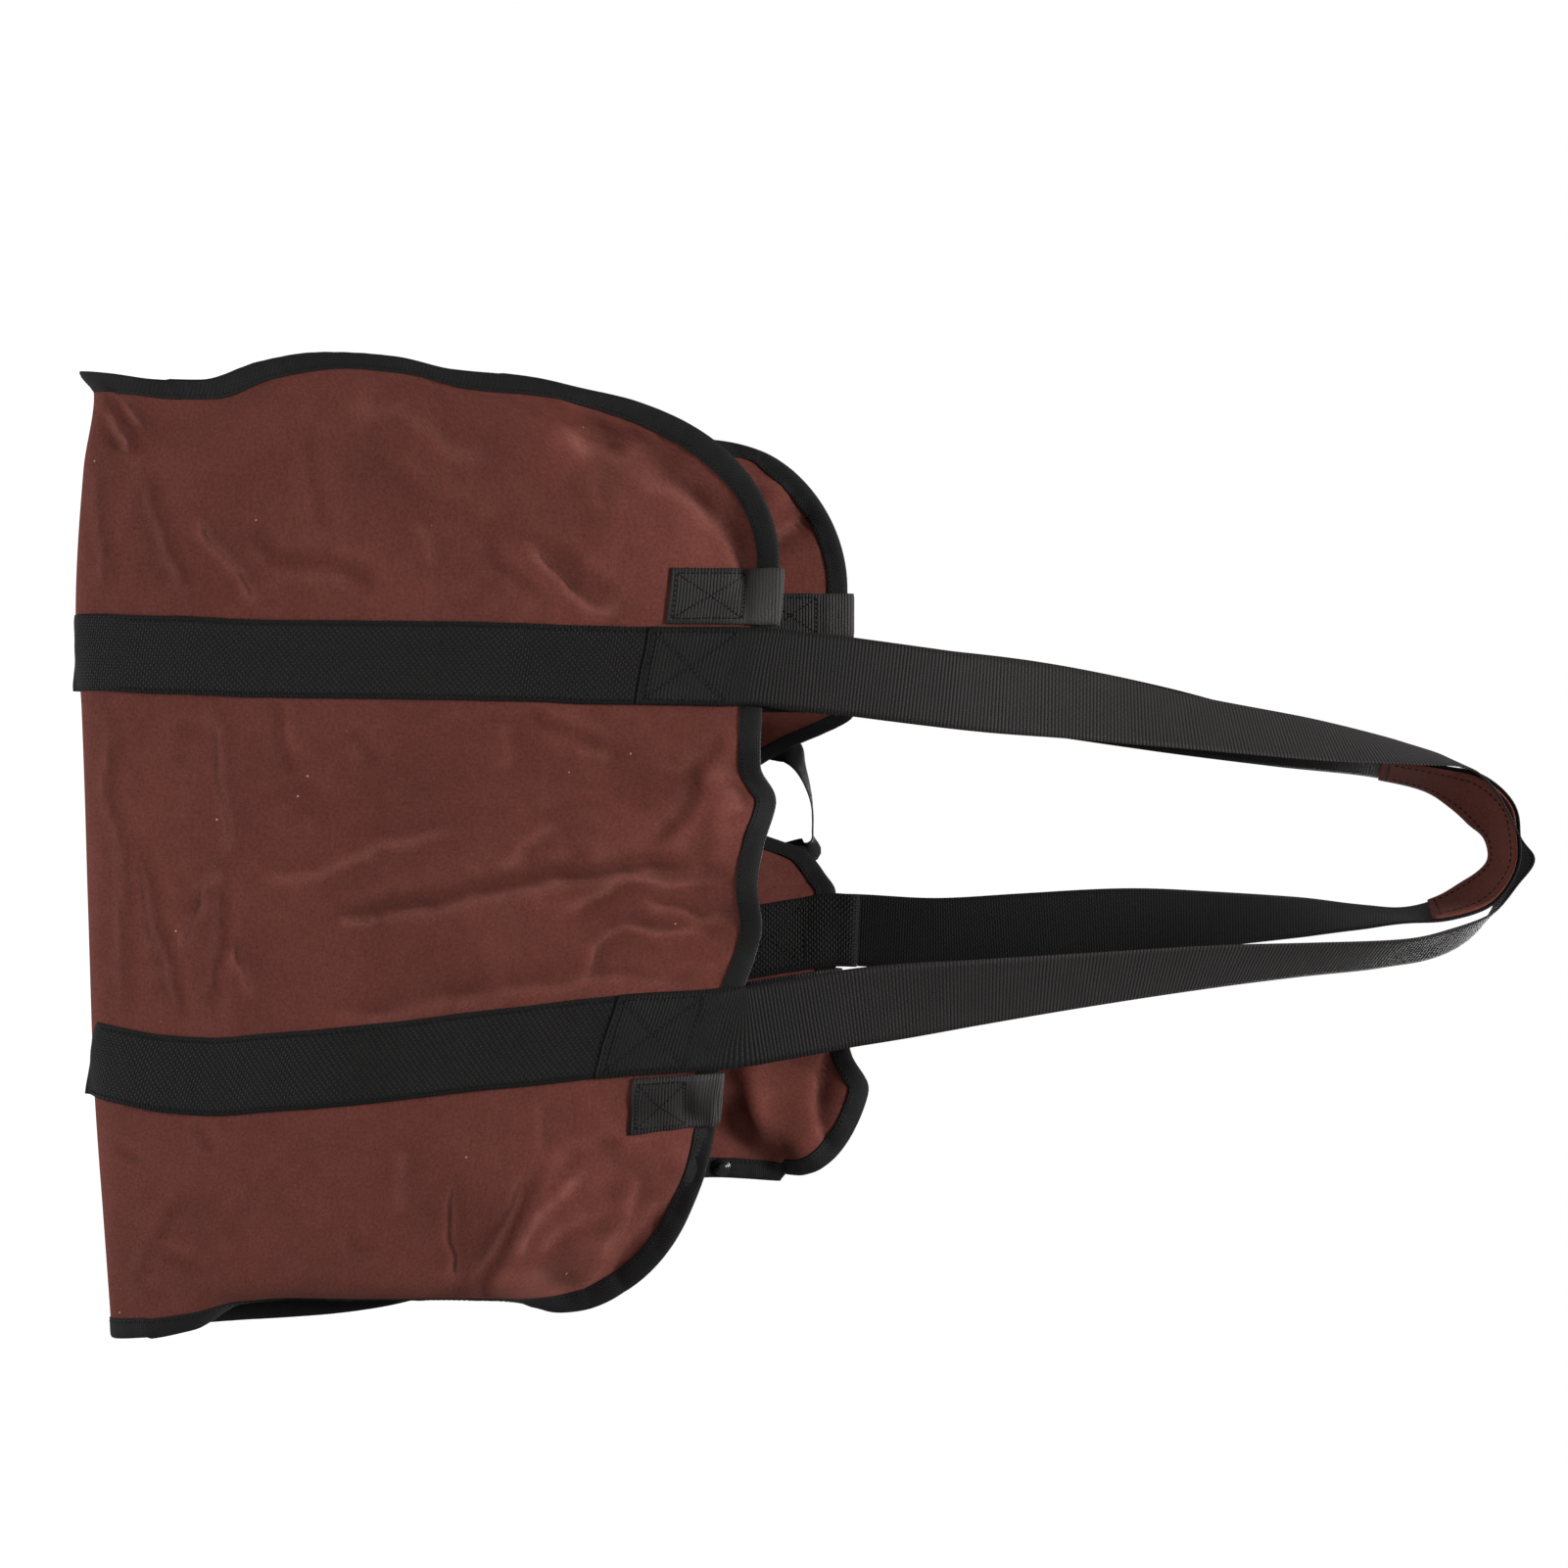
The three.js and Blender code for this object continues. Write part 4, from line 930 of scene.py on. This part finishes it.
def build_canvas():
    half = half_columns(60, 30)
    columns = np.concatenate([-half[::-1], [0], half])
    bend = (1 - np.cos(np.linspace(0, math.pi / 2, 13)[1:])) * fold_height / 450
    places = np.concatenate([bend, np.linspace(bend[-1], 1, 119)[1:]])
    grids, wear_and_light_grids = {}, {}
    for name in ("front", "back"):
        rise = places[:, None] * full_rise(columns, name)[None, :]
        x = np.broadcast_to(columns[None, :], rise.shape)
        grids[name] = canvas_point(x, rise, name)
        wear_and_light_grids[name] = rubbed_and_painted_light(x, rise, name)
    middle = canvas_point(columns, np.zeros_like(columns), "front")[None]
    points = np.concatenate([grids["front"][::-1], middle, grids["back"]])
    v = np.concatenate([-places[::-1] * front_height, [0], places * back_height])
    uv = np.stack(np.broadcast_arrays(columns[None, :], v[:, None]), -1)
    obj = sheet_mesh("canvas", points, uv, canvas_thickness, canvas_look)
    ridge = np.concatenate([wear_and_light_grids["front"][::-1], np.zeros((1, len(columns))), wear_and_light_grids["back"]]).ravel()
    # The ridge attribute carries rubbed wear, painted highlight and painted shade for the canvas colour.
    layer = obj.data.attributes.new("ridge", "FLOAT", "POINT")
    layer.data.foreach_set("value", np.concatenate([ridge, -ridge]).astype(np.float32))
    return obj


canvas = build_canvas()
pieces["canvas"] = canvas
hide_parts("canvas_body")


# The binding


def edge_path():
    """The cut edge on the flat sheet, all the way round: x, and rise, which is negative at the front."""
    half = half_columns(60, 40)
    columns = np.concatenate([-half[::-1], [0], half])
    parts = []
    for name, sign in (("front", -1), ("back", 1)):
        top = np.stack([columns, sign * full_rise(columns, name)], 1)
        ends = np.abs(top[[0, -1], 1])
        right = np.linspace(1, 0, 80)[1:-1] * ends[1]
        left = np.linspace(0, 1, 80)[1:-1] * ends[0]
        start = np.stack([np.full(78, half_width), sign * right], 1)
        finish = np.stack([np.full(78, -half_width), sign * left], 1)
        parts.append(np.concatenate([finish, top, start]))
    return np.concatenate([parts[0], parts[1][::-1]])


def on_sheet(flat, offset):
    """Places of the sheet moved out along its normal. flat: x, and rise, negative at the front."""
    points, normals = np.empty((len(flat), 3)), np.empty((len(flat), 3))
    for name, pick in (("front", flat[:, 1] < 0), ("back", flat[:, 1] >= 0)):
        x, rise = flat[pick, 0], np.abs(flat[pick, 1])
        points[pick] = canvas_point(x, rise, name)
        normals[pick] = canvas_normal(x, rise, name)
    return points + normals * np.broadcast_to(offset, len(flat))[:, None]


def path_lengths(points):
    """Distance along a closed path, with the way back to its start as the last value."""
    closed = np.vstack([points, points[:1]])
    return np.concatenate([[0], np.cumsum(np.linalg.norm(np.diff(closed, axis=0), axis=1))])


def even_edge(step):
    flat = edge_path()
    along = path_lengths(on_sheet(flat, 0))
    at = np.arange(int(along[-1] / step)) * along[-1] / int(along[-1] / step)
    closed = np.vstack([flat, flat[:1]])
    flat = np.stack([np.interp(at, along, closed[:, k]) for k in range(2)], 1)
    ahead = np.roll(flat, -2, 0) - np.roll(flat, 2, 0)
    inward = unit(np.stack([-ahead[:, 1], ahead[:, 0]], 1))
    inward = unit((np.roll(inward, 1, 0) + 2 * inward + np.roll(inward, -1, 0)) / 4)
    if np.sum(inward * flat) > 0:
        inward = -inward
    return flat, inward, at


edge_flat, edge_inward, edge_along = even_edge(3.2)
binding_far = canvas_thickness / 2 + gap * 0.5 + binding_thickness


def beside_edge(distance, offset):
    """Places beside the whole cut edge: distance inside it, or beyond it where negative."""
    if distance > 0:
        return on_sheet(edge_flat + edge_inward * distance, offset)
    edge = on_sheet(edge_flat, offset)
    out = unit(on_sheet(edge_flat, 0) - on_sheet(edge_flat + edge_inward * 3, 0))
    return edge - out * distance


def build_binding():
    """A folded tape with a rounded outer edge and a little pucker between its stitches."""
    near = canvas_thickness / 2 + gap * 0.5
    far = binding_far
    ripple = 0.12 * np.sin(edge_along / 1.9) + 0.18 * np.sin(edge_along / 7.7 + 1)
    outer = [(row["inside"], far * row["out"]) for row in binding_rows]
    section = outer + [(-1.2, 0)] + [(inside, -out) for inside, out in outer[::-1]]
    section += [(binding_width, -near), (1.2, -near), (1.2, near), (binding_width, near)]
    rings = []
    for distance, offset in section:
        loose = ripple if abs(offset) > near and distance not in (binding_seam, binding_width) else 0
        rings.append(beside_edge(distance, offset + np.sign(offset) * loose))
    points = np.stack(rings, 1)
    count, wide = points.shape[:2]
    index = np.arange(count * wide).reshape(count, wide)
    a, b = index, np.roll(index, -1, 1)
    d, c = np.roll(index, -1, 0), np.roll(np.roll(index, -1, 0), -1, 1)
    faces = np.stack([a.ravel(), b.ravel(), c.ravel(), d.ravel()], 1)
    u = np.array([distance for distance, _ in section], float)
    uv = np.stack(np.broadcast_arrays(u[None, :], edge_along[:, None]), -1).reshape(-1, 2)
    return make_mesh("binding", points.reshape(-1, 3), faces, uv, tape_look)


binding = build_binding()
pieces["binding"] = binding
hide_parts("edge_binding")


# Webbing on the panels


def strip(centre, width, count=13):
    return np.linspace(centre - width / 2, centre + width / 2, count)


def lift_at(below):
    return binding_lift * smooth(binding_width + 5, binding_width, np.asarray(below, float))


def leg_points(xs, name, belows, layer, face, sink=0):
    """Rows of a strip on one face of a panel. sink: how much nearer to the panel its lower end lies."""
    rows = []
    for below in belows:
        sunk = sink * smooth(belows[0] - 8, belows[0], below)
        offset = np.full_like(xs, face * (layer + lift_at(below) - sunk))
        rows.append(on_panel(xs, below, name, offset))
    return np.array(rows)


def handle_length(name):
    return handle_drop if name == "front" else -(bottom_z + back_height)


def panel_depth(name):
    xs = np.array([-half_spacing, half_spacing])
    return float(np.abs(on_panel(xs, 0, name, np.zeros(2))[:, 1]).mean())


def handle_point(row, name):
    y = panels[name]["sign"] * row["depth"] * panel_depth(name)
    return np.array([row["across"] * half_spacing, y, -row["down"] * handle_length(name)])


handle_rows = {"front": front_handle_rows, "back": back_handle_rows}


def edge_frame(side, name):
    rows = handle_rows[name]
    start = on_panel([side * half_spacing], 0, name, [handle_layer + binding_lift])[0]
    rise = unit(handle_point(rows[0] if side < 0 else rows[-1], name) - start)
    across = unit(np.array([1.0, 0, 0]) - rise * rise[0])
    return rise, across, np.cross(rise, across) * panels[name]["sign"]


def raised(xs, name, rise, offset):
    middle = xs[len(xs) // 2]
    up, across, out = edge_frame(np.sign(middle), name)
    centre = on_panel([middle], 0, name, [0])[0]
    return centre + up * rise + out * offset + np.outer(xs - middle, across)


def following(xs, name, rise, offset):
    edge = on_panel(xs, 0, name, np.zeros_like(xs))
    up = edge - on_panel(xs, binding_width, name, np.zeros_like(xs))
    up[:, 0] = 0
    up = unit(up)
    out = np.stack([np.zeros(len(xs)), up[:, 2], -up[:, 1]], 1) * panels[name]["sign"]
    return edge + up * rise + out * offset


def fold_points(xs, name, rise, layer, make_row):
    radius = layer + binding_lift
    angles = np.radians(np.linspace(90, -90, 13))
    return np.array([make_row(xs, name, rise + radius * math.cos(a), radius * math.sin(a)) for a in angles])


def smooth_rows(points, times):
    """Softens a grid of rows along its length, with its ends kept."""
    for _ in range(times):
        inner = (points[:-2] + 2 * points[1:-1] + points[2:]) / 4
        points = np.concatenate([points[:1], inner, points[-1:]])
    return points


def space_rows(points, step):
    """The same ribbon with its rows at even steps."""
    along = lengths(points)
    count = max(int(round(along[-1] / step)), 2)
    at = np.linspace(0, along[-1], count + 1)
    flat = points.reshape(len(points), -1)
    even = np.stack([np.interp(at, along, flat[:, k]) for k in range(flat.shape[1])], 1)
    return even.reshape(count + 1, *points.shape[1:])


def build_strap(centre, name):
    xs = strip(centre, webbing_width)
    parts = []
    for panel in ("front", "back"):
        inner = leg_points(xs, panel, np.linspace(strap_tab, 0, 30), first_layer, -1)
        rises = np.linspace(edge_step, tab_rise[panel], 8)
        up_out = np.array([raised(xs, panel, r, first_layer + binding_lift) for r in rises])
        up_in = np.array([raised(xs, panel, r, -first_layer - binding_lift) for r in rises])
        fold = fold_points(xs, panel, tab_rise[panel], first_layer, raised)
        side = np.concatenate([inner, up_in[:-1], fold[::-1][1:-1], up_out[::-1][1:]])
        parts.append(side)
    outside = {}
    for panel in ("front", "back"):
        full = float(full_rise(np.array([centre]), panel)[0])
        low = (1 - np.cos(np.linspace(0, math.pi / 2, 16)[1:])) * fold_height
        rises = np.concatenate([low, np.linspace(fold_height, full, 120)[1:]])
        outside[panel] = leg_points(xs, panel, full - rises, first_layer, 1)
    zero = np.zeros_like(xs)
    bottom = canvas_point(xs, zero, "front") + np.array([0, 0, -first_layer])
    rows = np.concatenate([parts[0], outside["front"][::-1], bottom[None], outside["back"], parts[1][::-1]])
    rows = smooth_rows(space_rows(rows, 3.0), 3)
    return ribbon_mesh(name, rows, webbing_width, webbing_thickness, strap_look)


for side, sign in (("left", -1), ("right", 1)):
    strap = build_strap(sign * half_spacing, "strap_" + side)
    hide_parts("body_strap_" + side)
    pieces["strap_" + side] = strap


loop_centre = strap_outer + loop_spacing + loop_width / 2


def build_loop(row):
    sign = -1 if row["side"] == "left" else 1
    xs = strip(sign * loop_centre, loop_width, 11)
    name = row["panel"]
    belows = np.linspace(row["leg"], 0, 28)
    outer = leg_points(xs, name, belows, first_layer, 1)
    inner = leg_points(xs, name, belows, first_layer, -1)
    fold = fold_points(xs, name, loop_rise[name], first_layer, following)
    rows = space_rows(np.concatenate([outer, fold, inner[::-1]]), 1.6)
    label = name + "_" + row["side"]
    obj = ribbon_mesh("loop_" + label, smooth_rows(rows, 2), loop_width, webbing_thickness, loop_look)
    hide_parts("side_loop_" + label)
    return obj


for row in loop_rows:
    obj = build_loop(row)
    pieces[obj.name] = obj


# Handles, grip and hanging loop


def route_curve(route, count):
    """Points and directions along a centripetal spline through a route, at even parameters."""
    route = np.asarray(route, float)
    first, last = 2 * route[0] - route[1], 2 * route[-1] - route[-2]
    full = np.vstack([first, route, last])
    points = []
    for t in np.linspace(0, 1, count) * (len(route) - 1):
        i = min(int(t), len(route) - 2)
        w = t - i
        p = full[i : i + 4]
        gaps = [max(np.linalg.norm(p[k + 1] - p[k]) ** 0.5, 1e-4) for k in range(3)]
        m1 = (p[1] - p[0]) / gaps[0] - (p[2] - p[0]) / (gaps[0] + gaps[1]) + (p[2] - p[1]) / gaps[1]
        m2 = (p[2] - p[1]) / gaps[1] - (p[3] - p[1]) / (gaps[1] + gaps[2]) + (p[3] - p[2]) / gaps[2]
        m1, m2 = m1 * gaps[1], m2 * gaps[1]
        a = 2 * p[1] - 2 * p[2] + m1 + m2
        b = -3 * p[1] + 3 * p[2] - 2 * m1 - m2
        points.append(a * w**3 + b * w**2 + m1 * w + p[1])
    points = np.array(points)
    return points, unit(np.gradient(points, axis=0))


def free_rows(route, turns, tilts, count, width, wide):
    """Rows along a route, turned about the upright and then tilted about the route's direction."""
    points, ahead = route_curve(route, count)
    rows = [dict(along=i, turn=turn, tilt=tilt) for i, (turn, tilt) in enumerate(zip(turns, tilts))]
    at = np.linspace(0, 1, count) * (len(route) - 1)
    turn, tilt = (np.radians(read(rows, "along", at, key))[:, None] for key in ("turn", "tilt"))
    across = np.concatenate([np.cos(turn), -np.sin(turn), np.zeros((count, 1))], 1)
    across = unit(across - ahead * np.sum(across * ahead, axis=1, keepdims=True))
    across = across * np.cos(tilt) + np.cross(ahead, across) * np.sin(tilt)
    spread = np.linspace(-1, 1, wide)
    return points[:, None] + across[:, None] * (spread * width / 2)[None, :, None]


def build_handle(name):
    ends = []
    for side in (-1, 1):
        xs = strip(side * half_spacing, webbing_width)
        leg = leg_points(xs, name, np.linspace(handle_overlap, 0, 36), handle_layer, 1, 0.6)
        clear = tab_rise[name] + handle_layer + binding_lift
        rises = np.linspace(edge_step, clear, 7)
        up = np.array([raised(xs, name, r, handle_layer + binding_lift) for r in rises])
        ends.append(np.concatenate([leg, up]))
    free_part_rows = handle_rows[name]
    middle = [end[-1][len(end[-1]) // 2] for end in ends]
    route = [middle[0], *(handle_point(row, name) for row in free_part_rows), middle[1]]
    flat = (0, 180) if name == "front" else (180, 0)
    turns = [flat[0], *(row["turn"] for row in free_part_rows), flat[1]]
    tilts = [0, *(row.get("tilt", 0) for row in free_part_rows), 0]
    free = free_rows(route, turns, tilts, 420, webbing_width, 13)
    if name == "front":
        ends[1] = ends[1][:, ::-1]
    else:
        ends[0] = ends[0][:, ::-1]
    rows = np.concatenate([ends[0][:-1], free, ends[1][::-1][1:]])
    rows = smooth_rows(space_rows(rows, 2.6), 4)
    look = handle_look if name == "front" else back_handle_look
    obj = ribbon_mesh("handle_" + name + "_web", rows, webbing_width, webbing_thickness, look)
    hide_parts("handle_" + name)
    return obj, rows


handles = {}
for name in ("front", "back"):
    pieces["handle_" + name], handles[name] = build_handle(name)


def build_grip():
    """Canvas on the underside of the inner handle's top. Also its rows and their way down."""
    rows = handles["back"]
    wide = rows.shape[1]
    centre = rows[:, wide // 2]
    reach = np.where(centre[:, 0] < 0, grip_reach["left"], grip_reach["right"])
    gripped = rows[centre[:, 2] > -reach * handle_length("back")]
    normal = grid_normals(gripped)
    middle = gripped[:, wide // 2 : wide // 2 + 1]
    narrowed = middle + (gripped - middle) * grip_width / webbing_width
    top = int(np.argmax(middle[:, 0, 2]))
    under = normal if normal[top, wide // 2, 2] < 0 else -normal
    lining = narrowed + under * (webbing_thickness / 2 + gap + grip_thickness / 2)
    obj = ribbon_mesh("lining", lining, grip_width, grip_thickness, canvas_look)
    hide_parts("grip_lining")
    return obj, lining, under


pieces["lining"], lining, lining_under = build_grip()


def build_hang_loop():
    layer = canvas_thickness / 2 + 2.5 * gap + hang_tape_thickness / 2
    legs = []
    for share in hang_legs:
        xs = strip(share * half_spacing, hang_tape_width, 7)
        legs.append(leg_points(xs, "back", np.linspace(hang_leg, 0, 12), layer, 1))
    start, end = (leg[-1][3] for leg in legs)
    route = [start]
    for row in hang_rows:
        route.append(start + (end - start) * row["along"] + np.array([0, 0, row["rise"] * hang_rise]))
    route.append(end)
    turns = [0, *(row["turn"] for row in hang_rows), 180]
    free = free_rows(route, turns, [0] * len(turns), 60, hang_tape_width, 7)
    rows = np.concatenate([legs[0][:-1], free, legs[1][::-1, ::-1][1:]])
    rows = smooth_rows(space_rows(rows, 2.0), 3)
    obj = ribbon_mesh("hang_tape", rows, hang_tape_width, hang_tape_thickness, tape_look)
    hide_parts("hang_loop")
    return obj


pieces["hang_tape"] = build_hang_loop()


# The press stud


def build_stud():
    x = np.array([half_width - binding_width / 2])
    axis = -canvas_normal(x, stud_place * full_rise(x, "back"), "back")[0]
    low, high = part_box("snap_stud")
    place = np.array([(low[k] + high[k]) / 2 * 1000 for k in range(3)]) - axis * stud_height / 2
    side = unit(np.cross(axis, [0, 0, 1.0]))
    other = np.cross(axis, side)
    turns = np.linspace(0, 2 * math.pi, 41)[:-1]
    rings = []
    for row in stud_rows:
        ring = np.outer(np.cos(turns), side) + np.outer(np.sin(turns), other)
        rings.append(place + ring * row["out"] * stud_diameter / 2 + axis * row["up"] * stud_height)
    points = np.concatenate(rings)
    faces = []
    count = len(turns)
    for i in range(len(stud_rows) - 1):
        for j in range(count):
            k = (j + 1) % count
            a, b, c, d = i * count + j, i * count + k, (i + 1) * count + k, (i + 1) * count + j
            if i == 0:
                faces.append([a, c, d])
            elif i == len(stud_rows) - 2:
                faces.append([a, b, c])
            else:
                faces.append([a, b, c, d])
    return make_mesh("stud", points, faces, None, stud_look)


pieces["stud"] = build_stud()
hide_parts("snap_stud")


# Stitches


def stitch_mesh(name, lines, material, pitch, share, radius):
    """Rows of stitches: each is a small six-sided bead that dips into the cloth at both ends."""
    points, faces = [], []
    for line, normal in lines:
        line, normal = np.asarray(line, float), np.asarray(normal, float)
        along = np.concatenate([[0], np.cumsum(np.linalg.norm(np.diff(line, axis=0), axis=1))])
        count = max(int(along[-1] / pitch), 1)
        for k in range(count):
            start = (k + 0.5) * along[-1] / count - pitch * share / 2
            at = start + np.array([0, 0.25, 0.75, 1]) * pitch * share
            spots = np.stack([np.interp(at, along, line[:, i]) for i in range(3)], 1)
            up = unit(np.array([np.interp(at[1], along, normal[:, i]) for i in range(3)]))
            ahead = unit(spots[3] - spots[0])
            side = np.cross(ahead, up)
            base = len(points)
            for spot, size, sink in zip(spots, (0.35, 1, 1, 0.35), (-0.35, 0.12, 0.12, -0.35)):
                for angle in np.radians([0, 60, 120, 180, 240, 300]):
                    ring = side * math.cos(angle) + up * math.sin(angle)
                    points.append(spot + (ring * size + up * sink) * radius)
            for r in range(3):
                for j in range(6):
                    a, b = base + r * 6 + j, base + r * 6 + (j + 1) % 6
                    faces.append([a, b, b + 6, a + 6])
    return make_mesh(name, points, faces, None, material)


def panel_line(name, ends, layer, face=1, step=2.0):
    """A straight line on the flat sheet, (x, distance below the edge) to the same, as a path."""
    (x1, b1), (x2, b2) = ends
    count = max(int(math.hypot(x2 - x1, b2 - b1) / step), 2) + 1
    xs, belows = np.linspace(x1, x2, count), np.linspace(b1, b2, count)
    offset = face * (layer + lift_at(belows))
    rise = full_rise(xs, name) - belows
    normal = canvas_normal(xs, rise, name)
    return canvas_point(xs, rise, name) + normal * offset[:, None], normal * face


def box_lines(name, centre, width, low, high, layer, face=1):
    """A stitched box, with its two diagonals, on a strip of webbing."""
    x1, x2 = centre - width / 2, centre + width / 2
    corners = [(x1, low), (x1, high), (x2, high), (x2, low)]
    pairs = [(corners[k], corners[(k + 1) % 4]) for k in range(4)]
    pairs += [(corners[0], corners[2]), (corners[1], corners[3])]
    return [panel_line(name, pair, layer, face) for pair in pairs]


handle_box = (webbing_width - 7, 74, 22)
tab_box = (webbing_width - 8, 70, 20)
strap_seam_start = {"front": 415, "back": 470}
strap_seam_inset = 3


def build_stitches():
    top = webbing_thickness / 2
    lines = []
    for name in ("front", "back"):
        for side in (-1, 1):
            centre = side * half_spacing
            lines += box_lines(name, centre, *handle_box, handle_layer + top)
            for edge in (-1, 1):
                x = centre + edge * (half_webbing - strap_seam_inset)
                ends = ((x, strap_seam_start[name]), (x, handle_overlap + 2))
                lines.append(panel_line(name, ends, first_layer + top))
            lines += box_lines(name, centre, *tab_box, first_layer + top, -1)
    pieces["stitches_straps"] = stitch_mesh("stitches_straps", lines, thread_look, 3.4, 0.72, 0.48)
    lines = []
    for row in loop_rows:
        side = -1 if row["side"] == "left" else 1
        low, high = row["leg"] - 3.5, 20
        for face in (1, -1):
            box = (side * loop_centre, loop_width - 7, low, high, first_layer + top, face)
            lines += box_lines(row["panel"], *box)
    pieces["stitches_loops"] = stitch_mesh("stitches_loops", lines, thread_look, 3.0, 0.78, 0.5)
    lines = []
    for face in (1, -1):
        path = beside_edge(binding_seam, face * binding_far * 0.94)
        out = unit(path - beside_edge(binding_seam, 0))
        lines.append((np.vstack([path, path[:1]]), np.vstack([out, out[:1]])))
    pieces["stitches_binding"] = stitch_mesh("stitches_binding", lines, thread_look, 3.4, 0.66, 0.34)
    lines = []
    surface = lining + lining_under * grip_thickness / 2
    for column in (2, -3):
        lines.append((surface[3:-3, column], lining_under[3:-3, column]))
    for row in (2, -3):
        lines.append((surface[row, 1:-1], lining_under[row, 1:-1]))
    pieces["stitches_grip"] = stitch_mesh("stitches_grip", lines, brown_thread_look, 4.2, 0.7, 0.6)


build_stitches()


# Everything rides on the one body, on a pale floor in soft light

for obj in pieces.values():
    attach(obj, "root")


def add_floor():
    size, level = 16.0, -3.2
    corners = [(-size, -size, level), (size, -size, level), (size, size, level), (-size, size, level)]
    mesh = bpy.data.meshes.new("floor")
    mesh.from_pydata(corners, [], [(0, 1, 2, 3)])
    floor = bpy.data.objects.new("floor", mesh)
    bpy.context.scene.collection.objects.link(floor)
    look = plain_material("pale_floor", (0.82, 0.82, 0.82), 0.8, 0.2, 3, 0.02)
    shader = look.node_tree.nodes["Principled BSDF"]
    shader.inputs["Emission Color"].default_value = (1, 1, 1, 1)
    shader.inputs["Emission Strength"].default_value = 0.8
    mesh.materials.append(look)
    floor.visible_diffuse = False
    floor.visible_glossy = False


def add_light(name, place, target, size, power):
    data = bpy.data.lights.new(name, "AREA")
    data.shape = "SQUARE"
    data.size = size
    data.energy = power
    light = bpy.data.objects.new(name, data)
    light.location = place
    direction = Vector(target) - Vector(place)
    light.rotation_euler = direction.to_track_quat("-Z", "Y").to_euler()
    bpy.context.scene.collection.objects.link(light)


add_floor()
world = bpy.data.worlds.new("studio")
bpy.context.scene.world = world
world.use_nodes = True
sky = world.node_tree.nodes["Background"]
sky.inputs[0].default_value = (1, 1, 1, 1)
seen = world.node_tree.nodes.new("ShaderNodeLightPath").outputs["Is Camera Ray"]
level = world.node_tree.nodes.new("ShaderNodeMapRange")
level.inputs["To Min"].default_value = SKY_LIGHT
level.inputs["To Max"].default_value = 1
world.node_tree.links.new(seen, level.inputs["Value"])
world.node_tree.links.new(level.outputs[0], sky.inputs[1])
middle = (0, 0, -0.5)
add_light("key", (-0.35, -1.25, 1.7), middle, 0.6, 84)
add_light("low", (0, -0.4, -2.6), (0, 0, -0.9), 0.6, 26)
add_light("back", (0.5, 2.2, 0.9), middle, 1.2, 40)
bpy.context.scene.view_settings.view_transform = "Standard"
